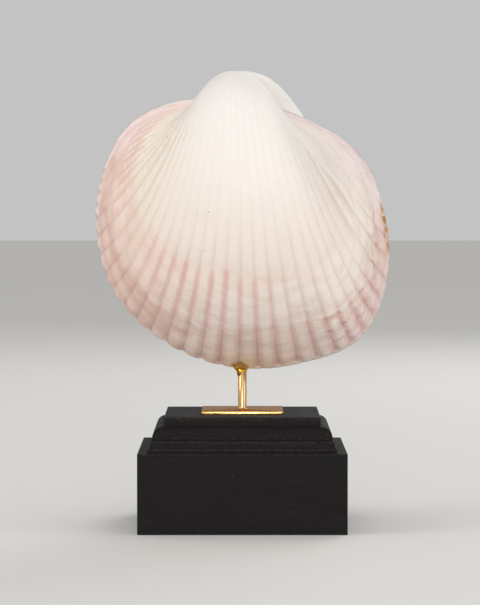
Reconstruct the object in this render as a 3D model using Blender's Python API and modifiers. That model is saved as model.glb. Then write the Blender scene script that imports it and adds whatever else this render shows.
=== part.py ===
# Giant heart cockle mounted for display.
# Two hollow ribbed valves meet face to face, and a bead of clear glue holds their lower margin
# on a round brass rod. The rod stands on a square brass plate on a moulded wooden plinth.
# Metres, +Z up, origin under the middle of the plinth, front towards -Y.

from math import cos, exp, pi, radians, sin

import bmesh
import bpy
from mathutils import Matrix, Vector

MM = 0.001
CLEARANCE = 0.3 * MM
MERGE_DISTANCE = 0.00001

# Shell growth: each valve is one margin outline that turns about the X axis and shrinks evenly
SPIRAL_RATE = 0.735
POLE_DEPTH = 9.0 * MM
UMBO_LEAN = 0.175
TURNS_PER_STEP = [0.25] * 10 + [0.5] * 3

# Margin outline: angle from straight down (degrees, + towards the longer end) and reach (mm)
MARGIN_OUTLINE = [
    (-180, 2.5), (-145, 3.0), (-115, 6.0), (-95, 16.0), (-78, 44.5), (-62, 64.0), (-46, 84.5),
    (-30, 103.5), (-14, 116.0), (2, 124.0), (18, 127.0), (32, 126.5), (45, 110.5), (58, 88.5),
    (72, 64.5), (86, 25.0), (100, 15.0), (118, 6.0), (148, 3.0),
]

# Ribs: flat crests between narrow grooves, evenly spaced round the pole
RIB_COUNT = 40
RIB_PITCH = 4.3
MIDDLE_GROOVE_ANGLE = -0.2
GROOVE_DEPTH = 1.1 * MM
CREST_EDGES = (0.22, 0.78)
HINGE_ANGLES = (96, 108, 124, 150, 180, 210, 236, 252, 264)

# Hollow inside of a valve: a smooth, slightly smaller copy of the same growth
HOLLOW_RATIO = 0.94
HOLLOW_CENTRE = Vector((0.0, 0.0, -62.0 * MM))
HOLLOW_POINTS = 36
HOLLOW_TURNS = [0.25] * 8
HOLLOW_OVERRUN = 1.0 * MM

# Seat of the shell over the rod
POLE_PLACE = Vector((-7.6 * MM, -5.0 * MM, 197.9 * MM))
SHELL_YAW = radians(-6.9)
SHELL_PITCH = radians(2.5)
SHELL_ROLL = radians(1.7)

# Stand
PLINTH_HALF_WIDTH = 48.0 * MM
PLINTH_HEIGHT = 52.8 * MM
SLAB_HALF_WIDTH = 36.0 * MM
SLAB_UNDERSIDE = 48.7 * MM
OVOLO_QUIRK = 0.6 * MM
OVOLO_RADIUS = 4.6 * MM
OVOLO_POINTS = 5

# Moulding below the ovolo: mm beyond the ovolo's side and mm above the table
LOWER_MOULDING = [
    (0.5, 43.3), (0.0, 42.9), (0.0, 42.5), (0.9, 42.0), (1.1, 40.4), (1.5, 39.2), (2.2, 38.5), (2.2, 36.9),
]
PLATE_SIDE = 38.1 * MM
PLATE_THICKNESS = 1.2 * MM
PLATE_EDGE = 0.25 * MM
ROD_RADIUS = 2.0 * MM
ROD_TOP = 71.6 * MM
ROD_SEGMENTS = 32
GLUE_CENTRE = Vector((0.0, 0.0, 74.4 * MM))
GLUE_RADII = Vector((3.2 * MM, 7.0 * MM, 4.2 * MM))
GLUE_CUT_RATIO = 1.006
GLUE_OVERLAP = 0.1 * MM


def clear_scene():
    for thing in list(bpy.data.objects):
        bpy.data.objects.remove(thing, do_unlink=True)


def new_collection(name):
    collection = bpy.data.collections.new(name)
    bpy.context.scene.collection.children.link(collection)
    return collection


def new_material(name, colour, roughness, metallic=0.0, transmission=0.0):
    material = bpy.data.materials.new(name)
    material.use_nodes = True
    shader = material.node_tree.nodes["Principled BSDF"]
    shader.inputs["Base Color"].default_value = (*colour, 1.0)
    shader.inputs["Roughness"].default_value = roughness
    shader.inputs["Metallic"].default_value = metallic
    shader.inputs["Transmission Weight"].default_value = transmission
    material.diffuse_color = (*colour, 1.0)
    return material


def object_from_bmesh(name, mesh_builder, collection, material=None):
    mesh = bpy.data.meshes.new(name)
    mesh_builder.to_mesh(mesh)
    mesh_builder.free()
    made = bpy.data.objects.new(name, mesh)
    collection.objects.link(made)
    if material:
        mesh.materials.append(material)
    return made


def make_cutter(made):
    made.hide_render = True
    made.display_type = "WIRE"


def cut(target, cutter):
    modifier = target.modifiers.new("cut by " + cutter.name, "BOOLEAN")
    modifier.operation = "DIFFERENCE"
    modifier.solver = "EXACT"
    modifier.object = cutter


# Margin reach at any angle: a smooth closed curve through the outline's points
def margin_reach(angle):
    knots = [(a, r * MM) for a, r in MARGIN_OUTLINE]
    before = [(a - 360, r) for a, r in knots[-2:]]
    after = [(a + 360, r) for a, r in knots[:3]]
    knots = before + knots + after
    angle = (angle + 180.0) % 360.0 - 180.0
    index = max(i for i, knot in enumerate(knots) if knot[0] <= angle)

    def slope(i):
        left = (knots[i][1] - knots[i - 1][1]) / (knots[i][0] - knots[i - 1][0])
        right = (knots[i + 1][1] - knots[i][1]) / (knots[i + 1][0] - knots[i][0])
        left_gap = knots[i][0] - knots[i - 1][0]
        right_gap = knots[i + 1][0] - knots[i][0]
        return (left * right_gap + right * left_gap) / (left_gap + right_gap)

    gap = knots[index + 1][0] - knots[index][0]
    u = (angle - knots[index][0]) / gap
    start = knots[index][1] * (1 + 2 * u) * (1 - u) ** 2 + slope(index) * gap * u * (1 - u) ** 2
    end = knots[index + 1][1] * u * u * (3 - 2 * u) + slope(index + 1) * gap * u * u * (u - 1)
    return start + end


def margin_point(angle, sunk=0.0):
    reach = margin_reach(angle) - sunk
    turn = radians(angle)
    return Vector((reach * sin(turn), 0.0, -reach * cos(turn)))


# The ribbed margin: a groove point and two crest points for each rib, then the smooth hinge side
def ribbed_margin():
    first = MIDDLE_GROOVE_ANGLE - RIB_PITCH * RIB_COUNT / 2
    points = []
    for rib in range(RIB_COUNT):
        groove = first + RIB_PITCH * rib
        points.append(margin_point(groove, GROOVE_DEPTH))
        for edge in CREST_EDGES:
            points.append(margin_point(groove + RIB_PITCH * edge))
    points.append(margin_point(first + RIB_PITCH * RIB_COUNT, GROOVE_DEPTH))
    points.extend(margin_point(angle) for angle in HINGE_ANGLES)
    return points


def smooth_margin():
    angles = [360.0 * i / HOLLOW_POINTS - 180.0 for i in range(HOLLOW_POINTS)]
    return [margin_point(angle) for angle in angles]


# One step of growth back in time: the margin turns about the pole towards the umbo and shrinks
def growth_step(turn):
    pole = Vector((0.0, -POLE_DEPTH, 0.0))
    spin = Matrix.Rotation(-turn, 4, "X")
    shrink = Matrix.Scale(exp(-SPIRAL_RATE * turn), 4)
    return Matrix.Translation(pole) @ spin @ shrink @ Matrix.Translation(-pole)


def grown_solid(margin, turns, overrun=0.0):
    builder = bmesh.new()
    verts = [builder.verts.new(point) for point in margin]
    mouth = [builder.edges.new((verts[i - 1], verts[i])) for i in range(len(verts))]
    rim = mouth
    for turn in turns:
        grown = bmesh.ops.extrude_edge_only(builder, edges=rim)["geom"]
        rim = [item for item in grown if isinstance(item, bmesh.types.BMEdge)]
        moved = [item for item in grown if isinstance(item, bmesh.types.BMVert)]
        bmesh.ops.transform(builder, matrix=growth_step(turn), verts=moved)
    bmesh.ops.contextual_create(builder, geom=rim)
    if overrun:
        pulled = bmesh.ops.extrude_edge_only(builder, edges=mouth)["geom"]
        mouth = [item for item in pulled if isinstance(item, bmesh.types.BMEdge)]
        moved = [item for item in pulled if isinstance(item, bmesh.types.BMVert)]
        bmesh.ops.translate(builder, vec=(0.0, overrun, 0.0), verts=moved)
    bmesh.ops.contextual_create(builder, geom=mouth)
    return builder


# Lean the umbones, mirror for the far valve, part the valves and seat the shell over the rod
def place_valve(builder, side, parting):
    lean = Matrix.Identity(4)
    lean[0][1] = -UMBO_LEAN
    mirror = Matrix.Diagonal((1.0, side, 1.0, 1.0))
    part = Matrix.Translation((0.0, -side * parting, 0.0))
    bmesh.ops.transform(builder, matrix=part @ mirror @ lean, verts=builder.verts)
    bmesh.ops.recalc_face_normals(builder, faces=builder.faces)


def seat_on_rod(made):
    made.rotation_mode = "YXZ"
    made.rotation_euler = (SHELL_PITCH, SHELL_ROLL, SHELL_YAW)
    made.location = POLE_PLACE


def build_hollow(name, side, cutters):
    builder = grown_solid(smooth_margin(), HOLLOW_TURNS, HOLLOW_OVERRUN)
    shrink = Matrix.Scale(HOLLOW_RATIO, 4)
    about = Matrix.Translation(HOLLOW_CENTRE) @ shrink @ Matrix.Translation(-HOLLOW_CENTRE)
    bmesh.ops.transform(builder, matrix=about, verts=builder.verts)
    place_valve(builder, side, CLEARANCE / 2)
    hollow = object_from_bmesh(name, builder, cutters)
    make_cutter(hollow)
    seat_on_rod(hollow)
    return hollow


# Side 1 is the left valve, which faces the viewer; side -1 is the right valve behind it
def build_valve(name, side, material, collection, cutters):
    builder = grown_solid(ribbed_margin(), TURNS_PER_STEP)
    place_valve(builder, side, CLEARANCE / 2)
    valve = object_from_bmesh(name, builder, collection, material)
    seat_on_rod(valve)
    cut(valve, build_hollow(name + "_hollow", side, cutters))
    return valve


# Plinth outline from the top's middle down to the underside: slab, ovolo, lower moulding, block
def plinth_profile():
    ovolo_side = SLAB_HALF_WIDTH + OVOLO_QUIRK + OVOLO_RADIUS
    ovolo_foot = SLAB_UNDERSIDE - OVOLO_RADIUS
    profile = [(0.0, PLINTH_HEIGHT), (SLAB_HALF_WIDTH, PLINTH_HEIGHT), (SLAB_HALF_WIDTH, SLAB_UNDERSIDE)]
    for step in range(OVOLO_POINTS):
        turn = pi / 2 * step / (OVOLO_POINTS - 1)
        half_width = SLAB_HALF_WIDTH + OVOLO_QUIRK + OVOLO_RADIUS * sin(turn)
        profile.append((half_width, ovolo_foot + OVOLO_RADIUS * cos(turn)))
    profile += [(ovolo_side + beyond * MM, height * MM) for beyond, height in LOWER_MOULDING]
    ledge_height = profile[-1][1]
    profile += [(PLINTH_HALF_WIDTH, ledge_height), (PLINTH_HALF_WIDTH, 0.0), (0.0, 0.0)]
    return profile


def build_plinth(material, collection):
    builder = bmesh.new()
    corner = 2 ** 0.5
    outline = [(half_width * corner, 0.0, height) for half_width, height in plinth_profile()]
    verts = [builder.verts.new(point) for point in outline]
    for above, below in zip(verts, verts[1:]):
        builder.edges.new((above, below))
    plinth = object_from_bmesh("plinth", builder, collection, material)
    plinth.rotation_euler = (0.0, 0.0, pi / 4)
    turned = plinth.modifiers.new("four mitred sides", "SCREW")
    turned.steps = 4
    turned.render_steps = 4
    turned.use_merge_vertices = True
    turned.merge_threshold = MERGE_DISTANCE
    turned.use_smooth_shade = False
    return plinth


def build_plate(material, collection):
    builder = bmesh.new()
    bmesh.ops.create_cube(builder, size=1.0)
    bmesh.ops.scale(builder, vec=(PLATE_SIDE, PLATE_SIDE, PLATE_THICKNESS), verts=builder.verts)
    plate = object_from_bmesh("brass_plate", builder, collection, material)
    plate.location = (0.0, 0.0, PLINTH_HEIGHT + CLEARANCE + PLATE_THICKNESS / 2)
    rounded = plate.modifiers.new("eased edges", "BEVEL")
    rounded.width = PLATE_EDGE
    rounded.segments = 2
    return plate


def build_rod(material, collection):
    foot = PLINTH_HEIGHT + PLATE_THICKNESS + 2 * CLEARANCE
    builder = bmesh.new()
    bmesh.ops.create_cone(builder, cap_ends=True, segments=ROD_SEGMENTS, radius1=ROD_RADIUS,
                          radius2=ROD_RADIUS, depth=ROD_TOP - foot)
    rod = object_from_bmesh("brass_rod", builder, collection, material)
    rod.location = (0.0, 0.0, (ROD_TOP + foot) / 2)
    rod.data.shade_smooth()
    rod.data.set_sharp_from_angle(angle=radians(30))
    return rod


# The glue hugs the lower margin of both valves and the end of the rod
def build_glue(material, collection, cutters):
    builder = bmesh.new()
    bmesh.ops.create_uvsphere(builder, u_segments=20, v_segments=12, radius=1.0)
    bmesh.ops.scale(builder, vec=GLUE_RADII, verts=builder.verts)
    glue = object_from_bmesh("glue", builder, collection, material)
    glue.location = GLUE_CENTRE
    socket = bmesh.new()
    bmesh.ops.create_cone(socket, cap_ends=True, segments=ROD_SEGMENTS,
                          radius1=ROD_RADIUS + CLEARANCE, radius2=ROD_RADIUS + CLEARANCE,
                          depth=ROD_TOP + CLEARANCE)
    rod_room = object_from_bmesh("rod_room", socket, cutters)
    rod_room.location = (0.0, 0.0, (ROD_TOP + CLEARANCE) / 2)
    make_cutter(rod_room)
    cut(glue, rod_room)
    grow = Matrix.Translation(HOLLOW_CENTRE) @ Matrix.Scale(GLUE_CUT_RATIO, 4)
    grow = grow @ Matrix.Translation(-HOLLOW_CENTRE)
    for name, side in (("left_valve_room", 1), ("right_valve_room", -1)):
        room = grown_solid(ribbed_margin(), TURNS_PER_STEP)
        bmesh.ops.transform(room, matrix=grow, verts=room.verts)
        place_valve(room, side, -GLUE_OVERLAP)
        valve_room = object_from_bmesh(name, room, cutters)
        seat_on_rod(valve_room)
        make_cutter(valve_room)
        cut(glue, valve_room)
    return glue


def build_all():
    clear_scene()
    parts = new_collection("giant_heart_cockle")
    cutters = new_collection("cutters")
    aragonite = new_material("shell aragonite", (0.80, 0.70, 0.62), 0.55)
    glue_resin = new_material("clear glue", (0.72, 0.48, 0.16), 0.15, transmission=0.6)
    brass = new_material("polished brass", (0.80, 0.58, 0.29), 0.25, metallic=1.0)
    black_wood = new_material("black painted wood", (0.030, 0.029, 0.028), 0.45)
    build_valve("left_valve", 1, aragonite, parts, cutters)
    build_valve("right_valve", -1, aragonite, parts, cutters)
    build_glue(glue_resin, parts, cutters)
    build_rod(brass, parts)
    build_plate(brass, parts)
    build_plinth(black_wood, parts)


build_all()
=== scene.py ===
"""The looks of a giant heart cockle shell, glued on a brass rod over a black painted plinth.

The solids of the model come first, as a fixed frame. Each valve then grows in Geometry Nodes along
the same logarithmic spiral as its solid, with its ribs, beads and growth steps. The brass, the glue
and the plinth are modelled round the places that the frame gives. Metres, +Z up, front towards -Y.
"""

import logging
from collections.abc import Callable
from dataclasses import dataclass, field
from enum import Enum
from functools import partial
from math import cos, exp, hypot, pi, radians, sin
from typing import Any

import bmesh
import bpy
import numpy as np
from bpy.types import ID, Material, Node, NodeSocket, NodeTree, Object
from mathutils import Euler, Matrix, Vector


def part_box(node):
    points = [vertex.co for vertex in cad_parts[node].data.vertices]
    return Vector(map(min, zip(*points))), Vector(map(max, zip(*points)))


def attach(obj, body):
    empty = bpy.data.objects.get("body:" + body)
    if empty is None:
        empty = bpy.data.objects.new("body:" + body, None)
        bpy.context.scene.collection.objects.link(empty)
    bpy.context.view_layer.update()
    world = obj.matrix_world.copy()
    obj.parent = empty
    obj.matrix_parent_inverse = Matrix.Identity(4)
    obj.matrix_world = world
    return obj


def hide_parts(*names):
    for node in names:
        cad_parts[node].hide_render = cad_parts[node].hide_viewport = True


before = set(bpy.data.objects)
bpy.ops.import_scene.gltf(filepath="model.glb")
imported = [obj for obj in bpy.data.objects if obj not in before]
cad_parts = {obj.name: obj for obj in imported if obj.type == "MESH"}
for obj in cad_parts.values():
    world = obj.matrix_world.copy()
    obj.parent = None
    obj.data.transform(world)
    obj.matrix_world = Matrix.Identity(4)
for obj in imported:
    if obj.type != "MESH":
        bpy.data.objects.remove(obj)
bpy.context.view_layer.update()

MM = 0.001
log = logging.getLogger("heart_cockle")
NodeMaker = Callable[..., Node]
Coat = tuple[Node, str | Node, dict[str, str]]

# Settings that many nodes share
COLOUR = {"data_type": "RGBA"}
DARKEN = {"data_type": "RGBA", "blend_type": "MULTIPLY"}
EASED = {"interpolation_type": "SMOOTHSTEP"}

# A shell's age is 0 at the margin, and these at its last pause and at its first. It runs on in turns.
LAST_PAUSE_AGE = 0.2
FIRST_PAUSE_AGE = 0.5

# The ages between which ribs flatten towards the margin, and the turns in which a pause's step fades
YOUNG_AGES = (0.26, 0.19)
STEP_TURNS = 0.05

# A patch's angles and turns when it has no edge there
ALL_ANGLES = (-400, -400, 400, 410)
ALL_TURNS = (-1, -1, 9, 10)


class Side(Enum):
    """Which half of the shell a valve is: the one towards the viewer or the one behind."""

    LEFT = 1
    RIGHT = -1


class Slot(Enum):
    """The record's material slots."""

    SHELL = "shell"
    GLUE = "glue"
    BRASS = "brass"
    PLINTH = "plinth"


def hex_colour(code: str) -> tuple[float, float, float, float]:
    """Turns an sRGB hex value into a linear colour.

    Args:
        code: six hex digits.

    Returns:
        Linear red, green and blue with a full alpha.
    """
    parts = [int(code[i:i + 2], 16) / 255.0 for i in (0, 2, 4)]
    linear = [c / 12.92 if c <= 0.04045 else ((c + 0.055) / 1.055) ** 2.4 for c in parts]
    return (*linear, 1.0)


def add_node(tree: NodeTree, kind: str, *given: Any, **settings: Any) -> Node:
    """Adds one node with its settings and its links.

    Args:
        tree: the node tree that takes it.
        kind: the node's type, where ShaderNode may be left off, or a Math node's operation in
            capitals. ADD and MULTIPLY take two or more terms and join them one after the other.
        given: for the shown inputs in their order, a value, a colour as six hex digits, a socket, or
            a node whose first shown output counts. None leaves an input alone, and a dict gives
            inputs by name.
        settings: the node's own properties.

    Returns:
        The new node.
    """
    if kind.isupper():
        kind, settings["operation"] = "Math", kind
        while len(given) > 2 and settings["operation"] in ("ADD", "MULTIPLY"):
            given = (add_node(tree, settings["operation"], *given[:2]), *given[2:])
    node = tree.nodes.new(kind if "Node" in kind else "ShaderNode" + kind)
    for name, value in settings.items():
        setattr(node, name, value)
    shown = [socket for socket in node.inputs if socket.enabled]
    pairs = []
    for place, value in enumerate(given):
        if isinstance(value, dict):
            pairs += [(node.inputs[name], part) for name, part in value.items()]
        elif value is not None:
            pairs.append((shown[place], value))
    for socket, value in pairs:
        if isinstance(value, Node):
            value = next(output for output in value.outputs if output.enabled)
        if isinstance(value, NodeSocket):
            tree.links.new(value, socket)
        else:
            socket.default_value = hex_colour(value) if socket.type == "RGBA" else value
    return node


def new_material(name: str) -> tuple[Material, NodeMaker, NodeSocket]:
    """Makes a material with an empty tree.

    Args:
        name: the material's name.

    Returns:
        The material, add_node for its tree, and the Object coordinates.
    """
    made = bpy.data.materials.new(name)
    made.use_nodes = True
    made.node_tree.nodes.clear()
    node = partial(add_node, made.node_tree)
    return made, node, node("TexCoord").outputs["Object"]


def smooth_step(low: float, high: float, value: np.ndarray) -> np.ndarray:
    """Eases each value from 0 at low to 1 at high, which may be below low."""
    share = np.clip((value - low) / (high - low), 0.0, 1.0)
    return share * share * (3.0 - 2.0 * share)


def linked(name: str, data: ID) -> Object:
    """Makes an object of a mesh, a lamp or a lens and links it to the scene.

    Args:
        name: the object's name.
        data: what it holds.

    Returns:
        The object, at the origin.
    """
    made = bpy.data.objects.new(name, data)
    bpy.context.scene.collection.objects.link(made)
    return made


def baked_mesh(maker: Object, name: str) -> Object:
    """Turns an object with live modifiers into a plain mesh object and removes the first.

    Args:
        maker: the object that carries the modifiers.
        name: the new piece's name.

    Returns:
        The plain piece, at the origin.
    """
    graph = bpy.context.evaluated_depsgraph_get()
    evaluated = maker.evaluated_get(graph)
    mesh = bpy.data.meshes.new_from_object(evaluated, preserve_all_data_layers=True, depsgraph=graph)
    bpy.data.objects.remove(maker)
    mesh.name = name
    return linked(name, mesh)


def mesh_object(name: str, builder: bmesh.types.BMesh, sharp_from: float | None = None) -> Object:
    """Makes an object from a bmesh and frees the bmesh.

    Args:
        name: the object's name.
        builder: the shape.
        sharp_from: degrees from which an edge of a smooth piece stays sharp. None leaves faces flat.

    Returns:
        The object, linked to the scene.
    """
    mesh = bpy.data.meshes.new(name)
    builder.to_mesh(mesh)
    builder.free()
    if sharp_from is not None:
        mesh.shade_smooth()
        mesh.set_sharp_from_angle(angle=radians(sharp_from))
    return linked(name, mesh)


@dataclass(frozen=True)
class Patch:
    """A soft-edged patch of the shell, in degrees round the pole and turns of growth.

    Each way it says where the patch starts, is full, fades and ends. Degrees of -400 or 400, and turns
    of -1 or 9, lie past the shell's ends, so it has no edge there.
    """

    angles: tuple[float, float, float, float]
    turns: tuple[float, float, float, float]
    strength: float = 1.0

    def cover(self, angle: np.ndarray, turn: np.ndarray) -> np.ndarray:
        """Says how far the patch covers each point.

        Args:
            angle: degrees round the pole.
            turn: turns of growth back from the margin, in radians.

        Returns:
            The patch's strength at each point.
        """
        shares = []
        for value, (start, full, fading, end) in ((angle, self.angles), (turn, self.turns)):
            rising = smooth_step(start, full, value) if full > start else 1.0
            shares.append(rising * (1.0 - smooth_step(fading, end, value)))
        return self.strength * shares[0] * shares[1]


@dataclass(frozen=True)
class SpiralGrowth:
    """How a valve grows: one margin outline that turns and shrinks evenly towards the umbo."""

    spiral_rate: float = 0.735
    pole_depth: float = 9.0 * MM
    umbo_lean: float = 0.175
    hollow_ratio: float = 0.94
    hollow_centre: tuple[float, float, float] = (0.0, 0.0, -62.0 * MM)
    hollow_turns: float = 2.0
    parting: float = 0.06 * MM
    seat_place: tuple[float, float, float] = (-7.6 * MM, -5.0 * MM, 197.9 * MM)
    pitch: float = radians(2.5)
    roll: float = radians(1.7)
    yaw: float = radians(-6.9)

    # The margin round the pole, as degrees from straight down and mm
    outline: tuple[tuple[float, float], ...] = (
        (-180, 2.5), (-145, 3.0), (-115, 6.0), (-95, 16.0), (-78, 44.5), (-62, 64.0), (-46, 84.5),
        (-30, 103.5), (-14, 116.0), (2, 124.0), (18, 127.0), (32, 126.5), (45, 110.5), (58, 88.5),
        (72, 64.5), (86, 25.0), (100, 15.0), (118, 6.0), (148, 3.0),
    )

    def reach(self, angle: np.ndarray) -> np.ndarray:
        """Gives the margin's distance from the pole, by a smooth closed curve through the outline.

        Args:
            angle: degrees from straight down.

        Returns:
            Distances in metres.
        """
        knots = np.array(self.outline)
        knots = np.vstack([knots[-2:] - (360, 0), knots, knots[:3] + (360, 0)])
        at, far = knots[:, 0], knots[:, 1] * MM
        gap = np.diff(at)
        rise = np.diff(far) / gap
        slope = np.zeros_like(far)
        slope[1:-1] = (rise[:-1] * gap[1:] + rise[1:] * gap[:-1]) / (gap[:-1] + gap[1:])
        turned = (angle + 180.0) % 360.0 - 180.0
        i = np.searchsorted(at, turned, side="right") - 1
        u = (turned - at[i]) / gap[i]
        start = far[i] * (1 + 2 * u) * (1 - u) ** 2 + slope[i] * gap[i] * u * (1 - u) ** 2
        end = far[i + 1] * u * u * (3 - 2 * u) + slope[i + 1] * gap[i] * u * u * (u - 1)
        return start + end

    def margin_points(self, angle: np.ndarray) -> np.ndarray:
        """Gives points of the margin, before the valve is seated.

        Args:
            angle: degrees from straight down.

        Returns:
            Points, with x, y and z in the last axis.
        """
        reach = self.reach(angle)
        turn = np.radians(angle)
        return np.stack([reach * np.sin(turn), 0.0 * reach, -reach * np.cos(turn)], axis=-1)

    def grown_points(self, angle: np.ndarray, turn: np.ndarray) -> np.ndarray:
        """Gives points of the smooth shell, before the valve leans, is mirrored and is seated.

        Args:
            angle: degrees from straight down.
            turn: turns of growth back from the margin, in radians.

        Returns:
            Points, with x, y and z in the last axis.
        """
        pole = np.array((0.0, -self.pole_depth, 0.0))
        shrink = np.exp(-self.spiral_rate * turn)[..., None]
        x, y, z = np.moveaxis((self.margin_points(angle) - pole) * shrink, -1, 0)
        cosine, sine = np.cos(turn), np.sin(turn)
        return np.stack([x, y * cosine + z * sine, z * cosine - y * sine], axis=-1) + pole

    def outward(self, angle: np.ndarray) -> np.ndarray:
        """Gives the shell's outward direction at the margin. Growth only turns it.

        Args:
            angle: degrees from straight down.

        Returns:
            Unit vectors, with x, y and z in the last axis.
        """
        half_step = 0.05
        along_margin = self.margin_points(angle + half_step) - self.margin_points(angle - half_step)
        arm = self.margin_points(angle) + np.array((0.0, self.pole_depth, 0.0))
        along_growth = -self.spiral_rate * arm - np.cross((1.0, 0.0, 0.0), arm)
        direction = np.cross(along_margin, along_growth)
        return direction / np.linalg.norm(direction, axis=-1, keepdims=True)

    def run(self, reach: np.ndarray, turn: np.ndarray) -> np.ndarray:
        """Gives the surface's length back to a turn, from a margin point at a reach from the pole."""
        whole = reach * hypot(1.0, self.spiral_rate) / self.spiral_rate
        return whole * (1.0 - np.exp(-self.spiral_rate * turn))

    def seat_turn(self) -> Euler:
        """Gives the seated shell's turn as plain XYZ angles."""
        return Euler((self.pitch, self.roll, self.yaw), "YXZ").to_matrix().to_euler("XYZ")


@dataclass(frozen=True)
class ShellRelief:
    """Sizes of the ribs and of what grew on them."""

    # The first groove's angle, then runs of ribs, as their count and the degrees from one to the next.
    # The far valve's ribs drift between the angles of drift.
    first_groove: float = -90.9
    rib_runs: tuple[tuple[int, float], ...] = ((14, 3.1), (17, 4.3), (17, 3.75))
    drift: tuple[float, float] = (-20.0, 15.0)

    # The grid: columns as shares of a rib's width, rows as turns and the steps up to them
    stations: tuple[float, ...] = (0.0, 0.08, 0.17, 0.32, 0.5, 0.68, 0.83, 0.92)
    hinge_columns: int = 24
    row_steps: tuple[tuple[float, float], ...] = ((0.30, 0.0032), (1.0, 0.0075), (2.0, 0.04), (5.2, 0.2))
    lining_step: float = 0.09
    lining_every: int = 4

    # Heights and depths are at the margin's size. Groove, rib and crest sizes are shares of a rib.
    rib_height: float = 1.0 * MM
    groove_floor: float = 0.07
    groove_edge: float = 0.18
    young_groove_edge: float = 0.24
    young_rib_share: float = 0.68
    crest_crown: float = 0.14
    ladder_spacing: float = 1.25 * MM
    ladder_height: float = 0.10 * MM
    ladder_arch: float = 0.7
    bead_spacing: float = 1.75 * MM
    bead_height: float = 0.45 * MM
    knob_spacing: float = 3.6 * MM
    knob_height: float = 0.32 * MM
    crumb_size: float = 1.9 * MM
    crumb_height: float = 1.3 * MM
    step_height: float = 0.55 * MM
    line_height: float = 0.10 * MM
    fold_length: float = 8.0 * MM
    fold_height: float = 2.4 * MM
    scallop_depth: float = 0.62 * MM
    ridge_height: float = 0.24 * MM
    tooth_depth: float = 0.45 * MM
    seed: float = 7.0

    # Ribs of the flanks splay outwards: the angle that they splay from, how fast, and where that fades
    splays: tuple[tuple[float, float, float, float], ...] = ((-38, 0.75, -66, -100), (41, 1.0, 60, 100))
    splay_turns: float = 0.65

    # Two pauses in the growth, as turns back from the margin at angles round the pole
    last_pause: tuple[tuple[float, float], ...] = (
        (-90, 0.08), (-70, 0.09), (-55, 0.10), (-45, 0.13), (-35, 0.17), (-25, 0.195), (-10, 0.21),
        (5, 0.23), (20, 0.235), (30, 0.205), (37, 0.175), (43, 0.165), (48, 0.17), (51, 0.155), (54, 0.125),
        (58, 0.093), (62, 0.07), (67, 0.047), (75, 0.055),
    )
    first_pause: tuple[tuple[float, float], ...] = (
        (-90, 0.60), (-74, 0.50), (-70, 0.38), (-66, 0.29), (-61, 0.30), (-54, 0.37), (-45, 0.43),
        (-35, 0.48), (-20, 0.51),
        (12, 0.515), (22, 0.49), (30, 0.52), (40, 0.49), (46, 0.45), (55, 0.38), (65, 0.33), (85, 0.28),
    )

    # Where the valve has ribs at all, then where they are lower: flanks, long end's slope, margin
    ribbed_zone: Patch = Patch((-90, -85, 84, 92), ALL_TURNS)
    smoother: tuple[Patch, ...] = (
        Patch((-400, -400, -84, -70), (0.02, 0.05, 9, 10), 0.92),
        Patch((-400, -400, -68, -56), (-1, -1, 0.03, 0.06), 0.85),
        Patch((-400, -400, -60, -42), (0.02, 0.05, 0.18, 0.32), 0.88),
        Patch((-400, -400, -74, -62), (0.02, 0.05, 0.34, 0.52), 0.85),
        Patch((-400, -400, -50, -34), (0.20, 0.32, 9, 10), 0.5),
        Patch((-40, -22, 30, 42), (0.40, 0.9, 9, 10), 0.72),
        Patch((32, 44, 400, 410), (0.20, 0.34, 9, 10), 0.62),
        Patch((50, 58, 400, 410), ALL_TURNS, 0.88),
        Patch(ALL_ANGLES, (1.1, 1.7, 9, 10), 0.5),
    )

    # Where each kind of growth shows, and how much of it
    folds: tuple[Patch, ...] = (
        Patch((-90, -80, -66, -50), (0.02, 0.06, 0.26, 0.40)),
        Patch((52, 60, 72, 78), (0.05, 0.12, 0.75, 1.1), 0.3),
    )
    beads: tuple[Patch, ...] = (
        Patch((-88, -80, -46, -32), (0.16, 0.28, 1.1, 1.4)),
        Patch((38, 44, 56, 62), (0.35, 0.5, 1.0, 1.2), 0.3),
    )
    ladder: tuple[Patch, ...] = (
        Patch((-40, -14, 20, 36), (-1, -1, 0.24, 0.42), 0.8),
        Patch((-2, 12, 26, 38), (-1, -1, 0.20, 0.30), 0.6),
    )
    scallops: tuple[Patch, ...] = (
        Patch((-60, -42, 66, 76), (-1, -1, 0.015, 0.05), 0.8),
        Patch((-66, -56, 66, 76), (-1, -1, 0.015, 0.05), 0.1),
    )
    teeth: tuple[Patch, ...] = (Patch((-46, -34, 60, 70), ALL_TURNS, 0.9),)
    knobs: tuple[Patch, ...] = (Patch((20, 28, 40, 52), (-1, -1, 0.15, 0.24), 0.5),)
    crumbs: tuple[Patch, ...] = (
        Patch((18, 30, 48, 56), (0.02, 0.06, 0.19, 0.24), 0.75),
        Patch((44, 50, 76, 84), (0.05, 0.09, 0.13, 0.17), 0.4),
        Patch((-84, -78, -40, -26), (-1, -1, 0.10, 0.15), 0.15),
        Patch((-86, -76, -64, -50), (0.18, 0.24, 0.34, 0.40), 0.15),
        Patch((-30, -20, 24, 36), (0.04, 0.10, 0.24, 0.34), 0.22),
        Patch((50, 55, 70, 76), (0.27, 0.32, 0.42, 0.50), 0.45),
    )

    # Shoulder ridges of the long end, as angles at turns of growth, with their half width in degrees
    ridges: tuple[tuple[tuple[float, float], ...], ...] = (
        ((0.36, 51.5), (0.50, 54.2), (0.66, 54.2), (0.85, 52.7), (1.08, 50.0), (1.37, 40.0)),
        ((0.42, 47.0), (0.60, 47.4), (0.76, 48.5), (0.95, 48.6)),
    )
    ridge_half_width: float = 1.3
    # A band beside each ridge, this far off and this wide, is painted darker as the ridge's shade
    valley_shift: float = -2.6
    valley_half_width: float = 1.2
    ridge_zone: Patch = Patch(ALL_ANGLES, (0.34, 0.42, 1.10, 1.45))

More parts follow.
